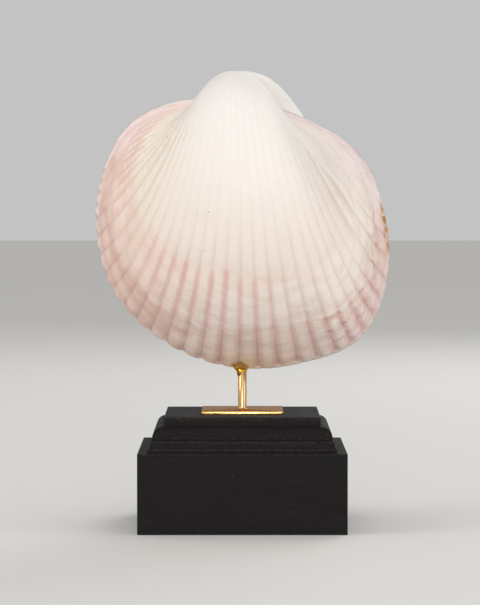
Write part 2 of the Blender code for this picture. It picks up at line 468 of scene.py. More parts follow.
    # How much of the step shows at each pause
    last_rise: tuple[Patch, ...] = (
        Patch((10, 28, 400, 410), ALL_TURNS, 0.85),
        Patch((-400, -400, -50, -38), ALL_TURNS, 0.6),
        Patch(ALL_ANGLES, ALL_TURNS, 0.25),
    )
    first_rise: tuple[Patch, ...] = (
        Patch((24, 32, 48, 54), ALL_TURNS, 0.40),
        Patch((48, 54, 400, 410), ALL_TURNS, 0.45),
        Patch((-400, -400, -62, -46), ALL_TURNS, 0.55),
    )

    def grooves(self, side: Side) -> np.ndarray:
        """Gives the grooves' angles at the margin. The far valve's drift half a rib off at the long end.

        Args:
            side: which valve.

        Returns:
            Degrees from straight down, rising.
        """
        angles = [self.first_groove]
        for count, pitch in self.rib_runs:
            angles += [angles[-1] + pitch * (i + 1) for i in range(count)]
        near = np.array(angles)
        if side is Side.LEFT:
            return near
        return near + self.rib_runs[1][1] / 2 * smooth_step(*self.drift, near)


@dataclass(frozen=True)
class ShellColourPatches:
    """Where the shell's tints lie, in degrees round the pole and turns of growth."""

    salmon: tuple[Patch, ...] = (
        Patch((-88, -70, -52, -24), (-1, -1, 0.28, 0.48), 0.8),
        Patch((-90, -70, -26, -6), (-1, -1, 0.40, 0.54), 0.75),
        Patch((26, 38, 48, 56), (-1, -1, 0.12, 0.20), 0.8),
        Patch((40, 46, 52, 58), (0.34, 0.42, 0.56, 0.80), 0.4),
    )
    dusky: tuple[Patch, ...] = (
        Patch((-82, -64, -18, -6), (-1, -1, 0.12, 0.24), 1.0),
        Patch((-78, -70, -60, -48), (0.16, 0.24, 0.34, 0.46), 0.7),
        Patch((64, 72, 84, 92), (-1, -1, 0.08, 0.16), 0.7),
        Patch((20, 34, 52, 60), (-1, -1, 0.10, 0.18), 0.8),
    )
    pink: tuple[Patch, ...] = (
        Patch((-400, -400, -76, -60), (-1, -1, 0.32, 0.6), 0.9),
        Patch((68, 76, 400, 410), (-1, -1, 0.05, 0.11), 1.0),
        Patch((78, 84, 225, 262), (-1, -1, 0.8, 1.4), 0.8),
        Patch((225, 262, 400, 410), (-1, -1, 0.32, 0.6), 0.9),
    )
    lilac: tuple[Patch, ...] = (
        Patch((-400, -400, -44, -30), (-1, -1, 0.025, 0.05), 1.0),
        Patch((-400, -400, -74, -58), (-1, -1, 0.16, 0.30), 0.7),
        Patch((50, 58, 225, 262), (-1, -1, 0.10, 0.16), 0.9),
        Patch((58, 66, 225, 262), (-1, -1, 0.5, 0.9), 0.6),
        Patch((225, 262, 400, 410), (-1, -1, 0.025, 0.05), 1.0),
        Patch((225, 262, 400, 410), (-1, -1, 0.16, 0.30), 0.7),
        Patch((14, 30, 50, 56), (-1, -1, 0.12, 0.22), 0.6),
    )
    cream: tuple[Patch, ...] = (
        Patch((-90, -76, -44, -14), (0.30, 0.55, 0.9, 2.2), 1.0),
        Patch((36, 44, 64, 72), (0.45, 0.6, 1.2, 1.6), 0.4),
    )
    pale: tuple[Patch, ...] = (
        Patch((22, 34, 225, 262), (0.15, 0.24, 0.45, 0.6), 0.75),
        Patch((-14, -2, 20, 32), (0.02, 0.08, 0.40, 0.52), 0.6),
    )
    # Partly a peachy tone, partly painted light: the bottom centre faces down and is lightened as if lit from
    # below
    peach: tuple[Patch, ...] = (Patch((-10, 2, 16, 26), (-1, -1, 0.08, 0.15), 1.0),)
    # Painted shade: the long end's slope and the dip between its ridges are painted greyer and darker
    grey: tuple[Patch, ...] = (
        Patch((54, 64, 78, 84), (0.40, 0.60, 9, 10), 0.6),
        Patch((42, 46, 51, 56), (0.34, 0.42, 0.9, 1.3), 0.32),
    )
    stain: tuple[Patch, ...] = (
        Patch((48, 51, 57, 60), (-1, -1, 0.016, 0.046), 1.0),
        Patch((46.8, 47.8, 48.6, 49.6), (0.108, 0.116, 0.128, 0.136), 0.9),
        Patch((51.2, 51.8, 52.4, 53.0), (0.110, 0.116, 0.122, 0.128), 0.5),
    )
    seam: tuple[Patch, ...] = (Patch((26, 32, 62, 70), ALL_TURNS, 0.52),)
    stripes: tuple[Patch, ...] = (
        Patch((-36, -12, -2, 24), (0.14, 0.26, 9, 10), 1.0),
        Patch((-16, -9, 26, 48), (-1, -1, 0.18, 0.30), 1.0),
    )


@dataclass(frozen=True)
class GrownAragonite:
    """Aragonite, grown rib by rib: a satin, slightly chalky ivory with pink left in the grooves."""

    ivory_by_age: tuple[tuple[float, str], ...] = (
        (0.0, "F5E6DB"), (0.05, "F1DFD4"), (0.12, "EFDBD0"), (0.19, "F0DDD3"), (0.215, "F3E4DB"),
        (0.35, "F5E7DD"), (0.49, "F1E0D6"), (0.515, "F0E2D9"), (0.70, "EEE2D9"), (1.1, "EEE6DF"),
        (1.6, "F0EAE4"),
    )
    streak_shade: str = "CDB3A4"
    blotch_shade: str = "D6C0B0"
    tan_spell: str = "E2CDBF"
    pale_spell: str = "F2E4D8"
    groove_pink: str = "E7AFAA"
    groove_mauve: str = "D2AAA4"
    # Painted shade in the grooves: greyer where old, reddish near the margin over the grooves' own colour
    groove_core: str = "B98378"
    groove_grey: str = "D0C1B2"
    # Painted light on the relief: a highlight on raised tips, and shade in hollows, creamier on the cream
    # flank
    worn_white: str = "FAF5EF"
    hollow_tint: str = "DEC3BD"
    hollow_tan: str = "ECDCC9"
    seam_shade: str = "96827E"
    glue_smear: str = "E2C978"
    iron_stain: str = "BC8440"
    dark_speck: str = "4A3A30"

    # Tints in the order in which they lie, with the most that each covers
    tints: tuple[tuple[str, str, float], ...] = (
        ("cream", "F0E1CA", 0.7), ("salmon", "EBCDBF", 0.9), ("dusky", "D9B8AC", 0.95),
        # The greyer slope tint is painted shade
        ("pink", "E6C6C3", 0.85), ("pale", "F7EFE7", 0.8), ("grey", "DCCEC5", 0.8),
        # The peachy tint under the bottom centre is partly painted light
        ("lilac", "ECDFE0", 0.8), ("peach", "FDE4D3", 0.6),
    )
    last_seam_age: float = 0.197
    smear_place: tuple[float, float, float] = (2.2 * MM, -6.0 * MM, 77.0 * MM)
    smear_radius: float = 6.5 * MM

    # Dark specks, as an angle and a turn of growth, with their radius in mm
    specks: tuple[tuple[float, float, float], ...] = (
        (-8.1, 0.816, 0.34), (-7.6, 0.60, 0.30), (1.3, 0.33, 0.26), (11.8, 0.12, 0.40),
    )
    roughness: float = 0.56
    specular: float = 0.34
    subsurface: float = 0.10
    scatter: float = 1.2 * MM
    scatter_by_colour: tuple[float, float, float] = (1.0, 0.65, 0.5)
    refraction: float = 1.53

    def material(self, relief: ShellRelief, growth: SpiralGrowth) -> Material:
        """Builds the shell's material on its growth marks.

        Args:
            relief: the ribs' sizes, for the width of the grooves.
            growth: the spiral, for lengths along the surface.

        Returns:
            The material.
        """
        # Grown aragonite is satin porcelain that light enters a little; its relief has painted highlights and
        # shade
        layers = ShellLayers(self)
        surface = layers.ivory()
        for coats in (layers.young_growth(), layers.tints(), layers.spells(), layers.grooves(),
                      layers.wear(), layers.stains(), layers.specks(relief, growth)):
            for share, tint, blending in coats:
                surface = layers.node("Mix", share, surface, tint, **blending)
        return layers.finished(surface)


class ShellLayers:
    """The nodes of the shell's material. A coat says how far it covers, its colour and how it mixes."""

    MARKS = (
        "age", "rib", "run", "ribbed", "salmon", "dusky", "pink", "cream", "pale", "lilac", "peach", "grey",
        "stain", "stripes", "top", "seam",
    )

    def __init__(self, finish: GrownAragonite) -> None:
        """Adds what several layers share: marks, lengths, clouds, streaks and blotches.

        Args:
            finish: the shell's colours and sizes.
        """
        self.finish = finish
        self.made, self.node, self.place = new_material("aragonite, grown in ribs")
        node = self.node
        self.mark = {name: node("Attribute", attribute_name=name).outputs["Fac"] for name in self.MARKS}
        age, rib = self.mark["age"], self.mark["rib"]

        # Slow cloudiness, 12 mm across, that moves the edges of every tint a little
        cloud = node("TexNoise", self.place, 85.0, 3.0, 0.55)
        self.patchy = node("MapRange", cloud, 0.35, 0.65, 0.45, 1.0)
        sway = node("MapRange", cloud, 0.0, 1.0, -0.025, 0.025)
        self.rib_number = node("FLOOR", rib)
        own_rib = node("TexWhiteNoise", self.rib_number, noise_dimensions="1D")
        self.jumped = node("ADD", age, node("MapRange", own_rib, 0.0, 1.0, -0.014, 0.014))
        self.swayed = node("ADD", self.jumped, sway)

        # Growth streaks: thin lines across the ribs, 0.6 to 2 mm apart, strongest near the margin
        self.run_mm = node("MULTIPLY", self.mark["run"], 1.0 / MM)
        self.streak_place = node("CombineXYZ", self.run_mm, node("MULTIPLY", rib, 0.7))
        self.streak = node("TexNoise", self.streak_place, 0.75, 4.0, 0.62)
        self.streaky = node("MapRange", self.streak, 0.38, 0.7)
        self.young = node("MapRange", age, 0.60, 0.15, 0.012, 0.22)

        # Blotches 6 mm across
        blot_place = node("CombineXYZ", self.run_mm, node("MULTIPLY", rib, 2.4))
        self.blot = node("TexNoise", blot_place, 0.17, 3.0, 0.6)

    def ivory(self) -> Node:
        """Adds the ivory that changes with age.

        Returns:
            The ground under all coats.
        """
        stages = self.finish.ivory_by_age
        oldest = stages[-1][0]
        ground = self.node("ValToRGB", self.node("DIVIDE", self.swayed, oldest))
        stops = ground.color_ramp.elements
        for stop, (_, code) in zip(stops, (stages[0], stages[-1])):
            stop.color = hex_colour(code)
        for age, code in stages[1:-1]:
            stops.new(age / oldest).color = hex_colour(code)
        return ground

    def young_growth(self) -> list[Coat]:
        """Adds streaks, and blotches from beige to pinkish, where the ribs are young.

        Returns:
            The coats, lowest first, as in the methods below.
        """
        streaks = self.node("MULTIPLY", self.streaky, self.young)
        blotched = self.node("MapRange", self.blot, 0.46, 0.60)
        blotches = self.node("MULTIPLY", blotched, self.young, 2.0, use_clamp=True)
        return [(streaks, self.finish.streak_shade, DARKEN), (blotches, self.finish.blotch_shade, DARKEN)]

    def tints(self) -> list[Coat]:
        """Adds cream on the beaded flank, salmon and pink outside it, and paler growth at the margin."""
        # Among these, the greyer slope tint is painted shade
        # The peachy tint under the bottom centre is partly painted light
        return [(self.node("MULTIPLY", self.mark[name], most, self.patchy), tint, COLOUR)
                for name, tint, most in self.finish.tints]

    def spells(self) -> list[Coat]:
        """Adds the spells in which each rib grew, 5 to 10 mm long, some tanner and some paler.

        Returns:
            The coats.
        """
        node, finish = self.node, self.finish
        spell_place = node("CombineXYZ", self.run_mm, node("MULTIPLY", self.rib_number, 5.7))
        spell = node("TexNoise", spell_place, 0.16, 0.4)
        most = node("MapRange", self.mark["age"], 0.50, 0.18, 0.0, 0.22)
        tanner = node("MULTIPLY", node("MapRange", spell, 0.50, 0.62), most)
        paler = node("MULTIPLY", node("MapRange", spell, 0.48, 0.36), most)
        return [(tanner, finish.tan_spell, DARKEN), (paler, finish.pale_spell, COLOUR)]

    def grooves(self) -> list[Coat]:
        """Adds the grooves: pink stripes, mauve at the last growth, and a painted shade line up to the beak.

        Returns:
            The coats.
        """
        node, mark, finish = self.node, self.mark, self.finish
        phase = node("FRACT", mark["rib"])
        near = node("MINIMUM", phase, node("SUBTRACT", 1.0, phase))
        near_wavy = node("ADD", near, node("MapRange", self.streak, 0.0, 1.0, -0.06, 0.06))
        last_growth = node("MapRange", self.swayed, 0.24, 0.17, **EASED)
        outer = node("MapRange", last_growth, 0.0, 1.0, 0.33, 0.40)
        inner = node("MapRange", last_growth, 0.0, 1.0, 0.10, 0.17)
        stripe = node("MapRange", near_wavy, outer, inner, **EASED)

        # Each stripe starts at the first pause, a little before or after the next, and has its own strength
        chance = node("TexWhiteNoise", node("ROUND", mark["rib"]), noise_dimensions="1D")
        start = node("MapRange", chance, 0.0, 1.0, 0.47, 0.53)
        since_start = node("SUBTRACT", start, mark["age"])
        begun = node("MapRange", since_start, -0.008, 0.022)
        weaker = node("MapRange", since_start, 0.0, 0.30, 1.0, 0.6)
        strength = node("MapRange", chance.outputs["Color"], 0.0, 1.0, 0.58, 1.0)
        broken = node("MapRange", self.blot, 0.35, 0.62, 0.60, 1.0)
        striped = node("MULTIPLY", begun, weaker, mark["stripes"], stripe, mark["ribbed"], broken, strength)
        stripe_tint = node("Mix", last_growth, finish.groove_pink, finish.groove_mauve, **COLOUR)

        # A line of painted shade down each groove, over the grooves' own reddish colour near the margin
        line = node("MapRange", near_wavy, 0.13, 0.03, **EASED)
        older = node("MapRange", mark["age"], 1.1, 1.9, 0.42, 0.75)
        line_most = node("MapRange", last_growth, 0.0, 1.0, older, 0.40)
        lined = node("MULTIPLY", line_most, self.patchy, line, mark["ribbed"])
        line_tint = node("Mix", last_growth, finish.groove_grey, finish.groove_core, **COLOUR)
        return [(striped, stripe_tint, COLOUR), (lined, line_tint, COLOUR)]

    def wear(self) -> list[Coat]:
        """Paints shade into the hollows between crumbs and rungs, and paints highlights on raised tips.

        Returns:
            The coats.
        """
        node, mark, finish = self.node, self.mark, self.finish
        # Painted light: raised tips get a painted highlight and hollows painted shade, by the relief mark
        # from the growth
        raised = node("MapRange", mark["top"], 0.25, 1.0, 0.0, 0.6)
        sunken = node("MapRange", mark["top"], 0.0, -0.9, 0.0, 0.8)
        hollow = node("Mix", mark["cream"], finish.hollow_tint, finish.hollow_tan, **COLOUR)
        return [(sunken, hollow, DARKEN), (raised, finish.worn_white, COLOUR)]

    def stains(self) -> list[Coat]:
        """Adds the dark seam of the last pause, the yellow smear above the bead, and the iron stain.

        Returns:
            The coats.
        """
        node, mark, finish = self.node, self.mark, self.finish
        from_pause = node("ABSOLUTE", node("SUBTRACT", self.jumped, finish.last_seam_age))
        broken = node("MapRange", self.blot, 0.42, 0.60)
        seam = node("MULTIPLY", node("MapRange", from_pause, 0.009, 0.002), broken, mark["seam"])
        from_bead = node("VectorMath", self.place, finish.smear_place, operation="DISTANCE")
        near_bead = node("MapRange", from_bead, finish.smear_radius, finish.smear_radius * 0.4, 0.0, 0.7)
        smear = node("MULTIPLY", near_bead, self.streaky)

        # The iron stain breaks up into patches about 2 mm across
        patches = node("MapRange", node("TexNoise", self.place, 300.0, 4.0, 0.6), 0.33, 0.54)
        stain = node("MULTIPLY", mark["stain"], patches)
        shades = (finish.seam_shade, finish.glue_smear, finish.iron_stain)
        return [(share, shade, COLOUR) for share, shade in zip((seam, smear, stain), shades)]

    def specks(self, relief: ShellRelief, growth: SpiralGrowth) -> list[Coat]:
        """Adds the tiny dark pits.

        Args:
            relief: the ribs' sizes, for the width of the grooves.
            growth: the spiral, for lengths along the surface.

        Returns:
            The coats.
        """
        node = self.node
        grooves = relief.grooves(Side.LEFT)
        numbers = np.arange(len(grooves))
        coats = []
        for angle, turn, radius in self.finish.specks:
            at_rib = float(np.interp(angle, grooves, numbers))
            reach = float(growth.reach(np.array(angle)))
            at_run = float(growth.run(np.array(reach), np.array(turn))) / MM
            pitch = float(np.interp(at_rib, numbers[:-1] + 0.5, np.diff(grooves)))
            rib_width = radians(pitch) * reach * exp(-growth.spiral_rate * turn) / MM
            across = node("MULTIPLY", node("SUBTRACT", self.mark["rib"], at_rib), rib_width)
            away = node("CombineXYZ", across, node("SUBTRACT", self.run_mm, at_run))
            distance = node("VectorMath", away, operation="LENGTH")
            dark = node("MapRange", distance, radius, radius * 0.5, 0.0, 0.9)
            coats.append((dark, self.finish.dark_speck, COLOUR))
        return coats

    def finished(self, surface: Node) -> Material:
        """Adds gloss and what is too low for the mesh: striae about 0.3 mm apart and a chalky grain.

        Args:
            surface: the colour.

        Returns:
            The material.
        """
        node, finish = self.node, self.finish
        striae = node("TexNoise", self.streak_place, 3.2, 3.0, 0.6)
        aged = node("MULTIPLY", striae, node("MapRange", self.mark["age"], 0.60, 0.30, 0.25, 1.0))
        fine = node("MULTIPLY_ADD", node("TexNoise", self.place, 2600.0, 2.0), 0.3, aged)
        smooth, rough = finish.roughness - 0.07, finish.roughness + 0.09
        shader = node("BsdfPrincipled", {
            "Base Color": surface, "Roughness": node("MapRange", self.streak, 0.0, 1.0, smooth, rough),
            "Normal": node("Bump", {"Height": fine, "Distance": 0.10 * MM, "Strength": 0.4}),
            "IOR": finish.refraction, "Specular IOR Level": finish.specular,
            "Subsurface Weight": finish.subsurface, "Subsurface Radius": finish.scatter_by_colour,
            "Subsurface Scale": finish.scatter,
        })
        node("OutputMaterial", {"Surface": shader})
        return self.made


@dataclass(frozen=True)
class LacqueredBrass:
    """Brass, drawn or rolled, polished and lacquered: warm, bright, with fine lines of the tool."""

    rod_colour: str = "E6C088"
    rod_lines: tuple[float, float, float] = (1600.0, 1600.0, 40.0)
    plate_colour: str = "D2A763"
    plate_lines: tuple[float, float, float] = (40.0, 2600.0, 2600.0)
    dark: str = "A97E45"
    grazing: str = "B5803F"
    roughness: float = 0.22
    lacquer: float = 0.08

    def material(self, name: str, colour: str, lines: tuple[float, float, float]) -> Material:
        """Builds a brass material whose tool lines run along one way.

        Args:
            name: the material's name.
            colour: the brass's own colour, as six hex digits.
            lines: how fine the tool's lines are along x, y and z, per metre.

        Returns:
            The material.
        """
        # Lacquered brass gives a warm, sharp mirror that the tool's lines draw out one way, and smudges
        # dull it. The lines are 0.4 to 0.6 mm apart, the finest that show, and the smudges 4 mm across.
        made, node, place = new_material(name)
        scratched = node("TexNoise", node("Mapping", {"Vector": place, "Scale": lines}), 1.0, 4.0, 0.6)
        smudge = node("TexNoise", place, 260.0, 3.0)
        tarnish = node("MapRange", smudge, 0.50, 0.80, 0.0, 0.25)
        both = node("MULTIPLY", scratched, smudge)
        shader = node("BsdfPrincipled", {
            "Base Color": node("Mix", tarnish, colour, self.dark, **COLOUR), "Metallic": 1.0,
            "Roughness": node("MapRange", both, 0.1, 0.45, self.roughness - 0.04, self.roughness + 0.08),
            "Normal": node("Bump", {"Height": scratched, "Distance": 0.02 * MM, "Strength": 0.08}),
            "Specular Tint": self.grazing, "Coat Weight": self.lacquer, "Coat Roughness": 0.12,
        })
        node("OutputMaterial", {"Surface": shader})
        return made


@dataclass(frozen=True)
class AmberGlue:
    """Clear glue, run out of the joint and yellowed: see-through, glossy, with a wavy skin."""

    clear: str = "FFF0B4"
    absorbed: str = "FDED20"
    density: float = 300.0
    roughness: float = 0.07
    refraction: float = 1.49

    def material(self) -> Material:
        """Builds the glue's material.

        Returns:
            The material.
        """
        # Set glue shows what is behind it in amber, deeper where the bead is thicker. Its skin's waves are
        # about 2 mm apart.
        made, node, place = new_material("clear glue, set in a bead")
        flow = node("TexNoise", place, 420.0, 2.0, {"Distortion": 0.6})
        shader = node("BsdfPrincipled", {
            "Base Color": self.clear, "IOR": self.refraction, "Transmission Weight": 1.0,
            "Roughness": node("MapRange", flow, 0.0, 1.0, self.roughness - 0.05, self.roughness + 0.10),
            "Normal": node("Bump", {"Height": flow, "Distance": 0.15 * MM, "Strength": 0.4}),
        })
        inside = node("VolumeAbsorption", {"Color": self.absorbed, "Density": self.density})
        node("OutputMaterial", {"Surface": shader, "Volume": inside})
        return made


@dataclass(frozen=True)
class BlackPaintedWood:
    """Close-grained wood, painted black with a brush and rubbed: satin, with paint worn pale on the arrises.
    """

    paint: str = "1D1B1B"
    thin_paint: str = "262322"
    bare_edge: str = "3E3934"
    dust: str = "4A4643"
    roughness: float = 0.62
    specular: float = 0.06
    brush_lines: tuple[float, float, float] = (60.0, 60.0, 1100.0)

    def material(self) -> Material:
        """Builds the paint's material, with brush lines 0.5 to 1 mm apart along the block.

        Returns:
            The material.
        """
        # Brushed black paint looks deep and even, with faint lines, rubbed edges and a few specks of dust.
        # It pools in patches 11 mm across and chips by 1 mm, and each speck is under 1 mm.
        made, node, place = new_material("wood, painted black by brush")
        arris = node("Attribute", attribute_name="arris").outputs["Fac"]
        brushed = node("Mapping", {"Vector": place, "Scale": self.brush_lines})
        strokes = node("TexNoise", brushed, 1.0, 4.0, 0.6)
        pooled = node("TexNoise", place, 90.0, 3.0)
        thin = node("MapRange", strokes, 0.45, 0.75, 0.0, 0.8)
        paint = node("Mix", thin, self.paint, self.thin_paint, **COLOUR)
        chips = node("MULTIPLY_ADD", arris, 0.33, node("TexNoise", place, 900.0, 3.0, 0.65))
        edged = node("Mix", node("MapRange", chips, 0.76, 1.04), paint, self.bare_edge, **COLOUR)
        specks = node("TexVoronoi", {"Vector": place, "Scale": 230.0}, feature="F1")
        speck = node("MapRange", specks.outputs["Distance"], 0.10, 0.05)
        rare = node("GREATER_THAN", node("SeparateColor", specks.outputs["Color"]), 0.97)
        height = node("MULTIPLY_ADD", pooled, 0.6, strokes)
        shader = node("BsdfPrincipled", {
            "Base Color": node("Mix", node("MULTIPLY", speck, rare), edged, self.dust, **COLOUR),
            "Roughness": node("MapRange", pooled, 0.0, 1.0, self.roughness - 0.10, self.roughness + 0.12),
            "Normal": node("Bump", {"Height": height, "Distance": 0.10 * MM, "Strength": 0.6}),
            "Specular IOR Level": self.specular,
        })
        node("OutputMaterial", {"Surface": shader})
        return made


class ValveTree:
    """Geometry Nodes that turn a flat grid of growth marks into a grown, ribbed valve."""

    NUMBERS = (
        "Spiral Rate", "Pole Depth", "Umbo Lean", "Hollow Ratio", "Side", "Parting", "Rib Height",
        "Groove Floor", "Groove Edge", "Young Groove Edge", "Young Rib Share", "Crest Crown",
        "Ladder Spacing", "Ladder Height", "Ladder Arch", "Fold Length", "Fold Height",
        "Scallop Depth", "Ridge Height", "Bead Spacing", "Bead Height", "Knob Spacing", "Knob Height",
        "Crumb Size", "Crumb Height", "Step Height", "Line Height", "Tooth Depth", "Seed",
    )
    PLACES = ("Hollow Centre", "Seat Place", "Seat Turn")
    MARKS = (
        "turn", "rib", "run", "reach", "lining", "ribbed", "beads", "knobs", "ladder", "crumbs", "folds",
        "scallop", "ridge", "valley", "last", "last_rise", "first", "first_rise", "tooth", "age",
    )

    def __init__(self) -> None:
        """Builds the tree."""
        self.tree = bpy.data.node_groups.new("valve growth", "GeometryNodeTree")
        face = self.tree.interface
        face.new_socket("Geometry", in_out="OUTPUT", socket_type="NodeSocketGeometry")
        self.sockets = {}
        for kind, names in (("Geometry", ("Geometry",)), ("Float", self.NUMBERS), ("Vector", self.PLACES),
                            ("Material", ("Finish",))):
            for name in names:
                self.sockets[name] = face.new_socket(name, in_out="INPUT", socket_type="NodeSocket" + kind)
        self.node = partial(add_node, self.tree)
        self.given = self.node("NodeGroupInput").outputs
        self.mark = {name: self.node("GeometryNodeInputNamedAttribute", name, data_type="FLOAT")
                     for name in self.MARKS}

        # Painted light: above 0 a raised tip gets a painted highlight, below 0 a hollow gets painted shade
        self.tops = []
        grown_for = self.node("MULTIPLY", self.mark["turn"], self.given["Spiral Rate"])
        self.unshrink = self.node("EXPONENT", grown_for)
        self.finish(self.grown(self.relief()))

    def across_rib(self) -> dict[str, Node]:
        """Adds the nodes that tell a groove from a crest.

        Returns:
            The distance from the nearest groove, the rib's wall, the crest, and a rounded crest.
        """
        node, given = self.node, self.given
        phase = node("FRACT", self.mark["rib"])
        near = node("MINIMUM", phase, node("SUBTRACT", 1.0, phase))
        edges = given["Groove Edge"], given["Young Groove Edge"]
        edge = node("MapRange", self.mark["age"], *YOUNG_AGES, *edges)
        wall = node("MapRange", near, given["Groove Floor"], edge, **EASED)
        dome = node("MapRange", near, 0.0, 0.45, node("SUBTRACT", 1.0, given["Crest Crown"]), **EASED)
        rounded = node("MapRange", near, 0.04, 0.42, **EASED)
        return {"near": near, "wall": wall, "crest": node("MULTIPLY", wall, dome), "round": rounded}

    def along_rib(self, near: Node, spacing: str, arch: NodeSocket | float) -> Node:
        """Adds a wave that runs along each rib, with a chance shift from rib to rib.

        Args:
            near: the distance from the nearest groove.
            spacing: the input that holds the wave's length.
            arch: how far the wave bends towards the rib's middle, in wave lengths.

        Returns:
            The wave, from 0 to 1.
        """
        # The wave starts anywhere on each rib, and wanders by a few lengths, so that no two ribs agree
        node = self.node
        seeded = node("ADD", node("FLOOR", self.mark["rib"]), self.given["Seed"])
        chance = node("TexWhiteNoise", seeded, noise_dimensions="1D")
        count = node("DIVIDE", self.mark["run"], self.given[spacing])
        where = node("CombineXYZ", node("MULTIPLY", count, 0.45), node("MULTIPLY", seeded, 5.37))
        wobble = node("TexNoise", where, 1.0, 2.0, noise_dimensions="2D")
        shifted = node("MULTIPLY_ADD", chance, 9.0, count)
        uneven = node("MULTIPLY_ADD", wobble, 3.6, shifted)
        arched = node("MULTIPLY_ADD", near, arch, uneven)
        return node("MULTIPLY_ADD", node("COSINE", node("MULTIPLY", arched, 2.0 * pi)), 0.5, 0.5)

    def step(self, pause: str) -> Node:
        """Adds the step at a pause in the growth: the younger shell starts lower and rises again.

        Args:
            pause: the mark that says where the pause lies.

        Returns:
            The step's height, 0 or less.
        """
        # The edge is ragged by up to 2 mm from rib to rib, and the step down is 0.7 mm long
        node = self.node
        ragged = node("TexNoise", node("MULTIPLY", self.mark["rib"], 1.4), 1.0, 3.0, noise_dimensions="1D")
        edge = node("ADD", self.mark[pause], node("MapRange", ragged, 0.25, 0.75, -0.014, 0.014))
        since = node("SUBTRACT", edge, self.mark["turn"])
        ease = node("EXPONENT", node("MULTIPLY", node("MAXIMUM", since, 0.0), -1.0 / STEP_TURNS))
        below = node("MapRange", since, 0.0, 0.0045)
        return node("MULTIPLY", ease, below, self.mark[pause + "_rise"], -1.0, self.given["Step Height"])

    def rungs_and_beads(self, rib: dict[str, Node], place: Node) -> list[Node]:
        """Adds what stands on the ribs: rungs of the ladder, beads, knobs and the dotted ridges.

        Args:
            rib: what across_rib gave.
            place: where a point lies on the grown shell.

        Returns:
            Their heights. Each one's painted highlight, or painted shade below 0, goes to the painted light
            list.
        """
        node, given, mark = self.node, self.given, self.mark

        # Ladders come and go along a rib, 4 to 8 mm at a time
        shown = node("MapRange", node("TexNoise", place, 150.0, 2.0), 0.40, 0.62)
        rung = self.along_rib(rib["near"], "Ladder Spacing", given["Ladder Arch"])
        rungs = node("MULTIPLY", node("POWER", rung, 3.0), rib["wall"], shown, mark["ladder"])
        heights = [node("MULTIPLY", rungs, given["Ladder Height"])]
        # Rungs get a painted highlight
        self.tops.append(node("MULTIPLY", rungs, 0.8))
        # Bead and knob crests get a painted highlight, and the dips between them painted shade
        for name, where, narrowing, shade in (("Bead", "beads", 2.0, 0.16), ("Knob", "knobs", 1.0, 0.34)):
            wave = self.along_rib(rib["near"], name + " Spacing", 0.0)
            bump = node("MULTIPLY", wave, node("POWER", rib["round"], narrowing))
            self.tops.append(node("MULTIPLY", node("MULTIPLY_ADD", bump, 1.25, -shade), mark[where]))
            below = node("SUBTRACT", bump, 0.85)
            heights.append(node("MULTIPLY", below, given[name + " Height"], mark[where]))
        dots = self.along_rib(rib["near"], "Bead Spacing", 0.0)
        ridge = node("MULTIPLY", node("MULTIPLY_ADD", dots, 0.55, 0.45), mark["ridge"])
        # The dotted ridges get a painted highlight, and the band beside them painted shade
        self.tops += [node("MULTIPLY", ridge, 1.1), node("MULTIPLY", mark["valley"], -0.25)]
        return heights + [node("MULTIPLY", ridge, given["Ridge Height"])]

    def rough_growth(self, rib: dict[str, Node], place: Node) -> list[Node]:
        """Adds crumbs at the pauses, folds beside the margin, the ribs' notched ends, and growth lines.

        Args:
            rib: what across_rib gave.
            place: where a point lies on the grown shell.

        Returns:
            Their heights. Each one's painted highlight, or painted shade below 0, goes to the painted light
            list.
        """
        node, given, mark = self.node, self.given, self.mark
        crumbs = node("TexNoise", place, node("DIVIDE", 1.0, given["Crumb Size"]), 2.0)
        fold_run = node("DIVIDE", mark["run"], given["Fold Length"])
        fold_place = node("CombineXYZ", fold_run, node("MULTIPLY", mark["rib"], 0.16), given["Seed"])
        folds = node("TexNoise", fold_place, 1.0, 0.7)
        heights = []
        # Crumb and fold crests get a painted highlight, and their hollows painted shade
        for noise, high, size, where, contrast, middle in (
            (crumbs, 0.72, "Crumb Height", "crumbs", 4.0, -2.0),
            (folds, 0.68, "Fold Height", "folds", 1.8, -0.95),
        ):
            heights.append(node("MULTIPLY", node("SUBTRACT", noise, high), given[size], mark[where]))
            self.tops.append(node("MULTIPLY", node("MULTIPLY_ADD", noise, contrast, middle), mark[where]))
        notch = node("SUBTRACT", rib["round"], 1.0)
        heights.append(node("MULTIPLY", notch, mark["scallop"], given["Scallop Depth"]))
        run_mm = node("MULTIPLY", mark["run"], 1.0 / MM)
        line_place = node("CombineXYZ", run_mm, node("MULTIPLY", mark["rib"], 0.3), given["Seed"])
        line = node("SUBTRACT", node("TexNoise", line_place, 0.55, 3.0), 0.75)
        zone = node("MapRange", mark["age"], 0.55, 0.2, 0.0, 1.0)
        return heights + [node("MULTIPLY", line, given["Line Height"], zone)]

    def relief(self) -> Node:
        """Adds everything that stands up from the smooth shell or sinks into it.

        Returns:
            The height in metres at the margin's size, before growth shrinks it.
        """
        node, given, mark = self.node, self.given, self.mark
        rib = self.across_rib()
        lower = node("MapRange", mark["age"], *YOUNG_AGES, 1.0, given["Young Rib Share"])
        sunk = node("SUBTRACT", rib["crest"], 1.0)
        ribs = node("MULTIPLY", sunk, given["Rib Height"], lower, mark["ribbed"])
        place = node("GeometryNodeInputNamedAttribute", "grown", data_type="FLOAT_VECTOR")
        heights = self.rungs_and_beads(rib, place) + self.rough_growth(rib, place)
        fine = node("ADD", *heights, self.step("last"), self.step("first"))
        total = node("ADD", ribs, node("MULTIPLY", fine, self.unshrink))
        return node("MULTIPLY", total, node("SUBTRACT", 1.0, mark["lining"]))

    def toothed_turn(self) -> Node:
        """Adds the margin's teeth, which reach past one valve's edge where the other's draws back.

        Returns:
            The turn of growth with the teeth.
        """
        node, mark = self.node, self.mark
        turned = node("DIVIDE", self.given["Tooth Depth"], mark["reach"])
        amount = node("MULTIPLY", turned, node("MapRange", mark["turn"], 0.0, 0.03, 1.0, 0.0))
        return node("MULTIPLY_ADD", mark["tooth"], amount, mark["turn"])

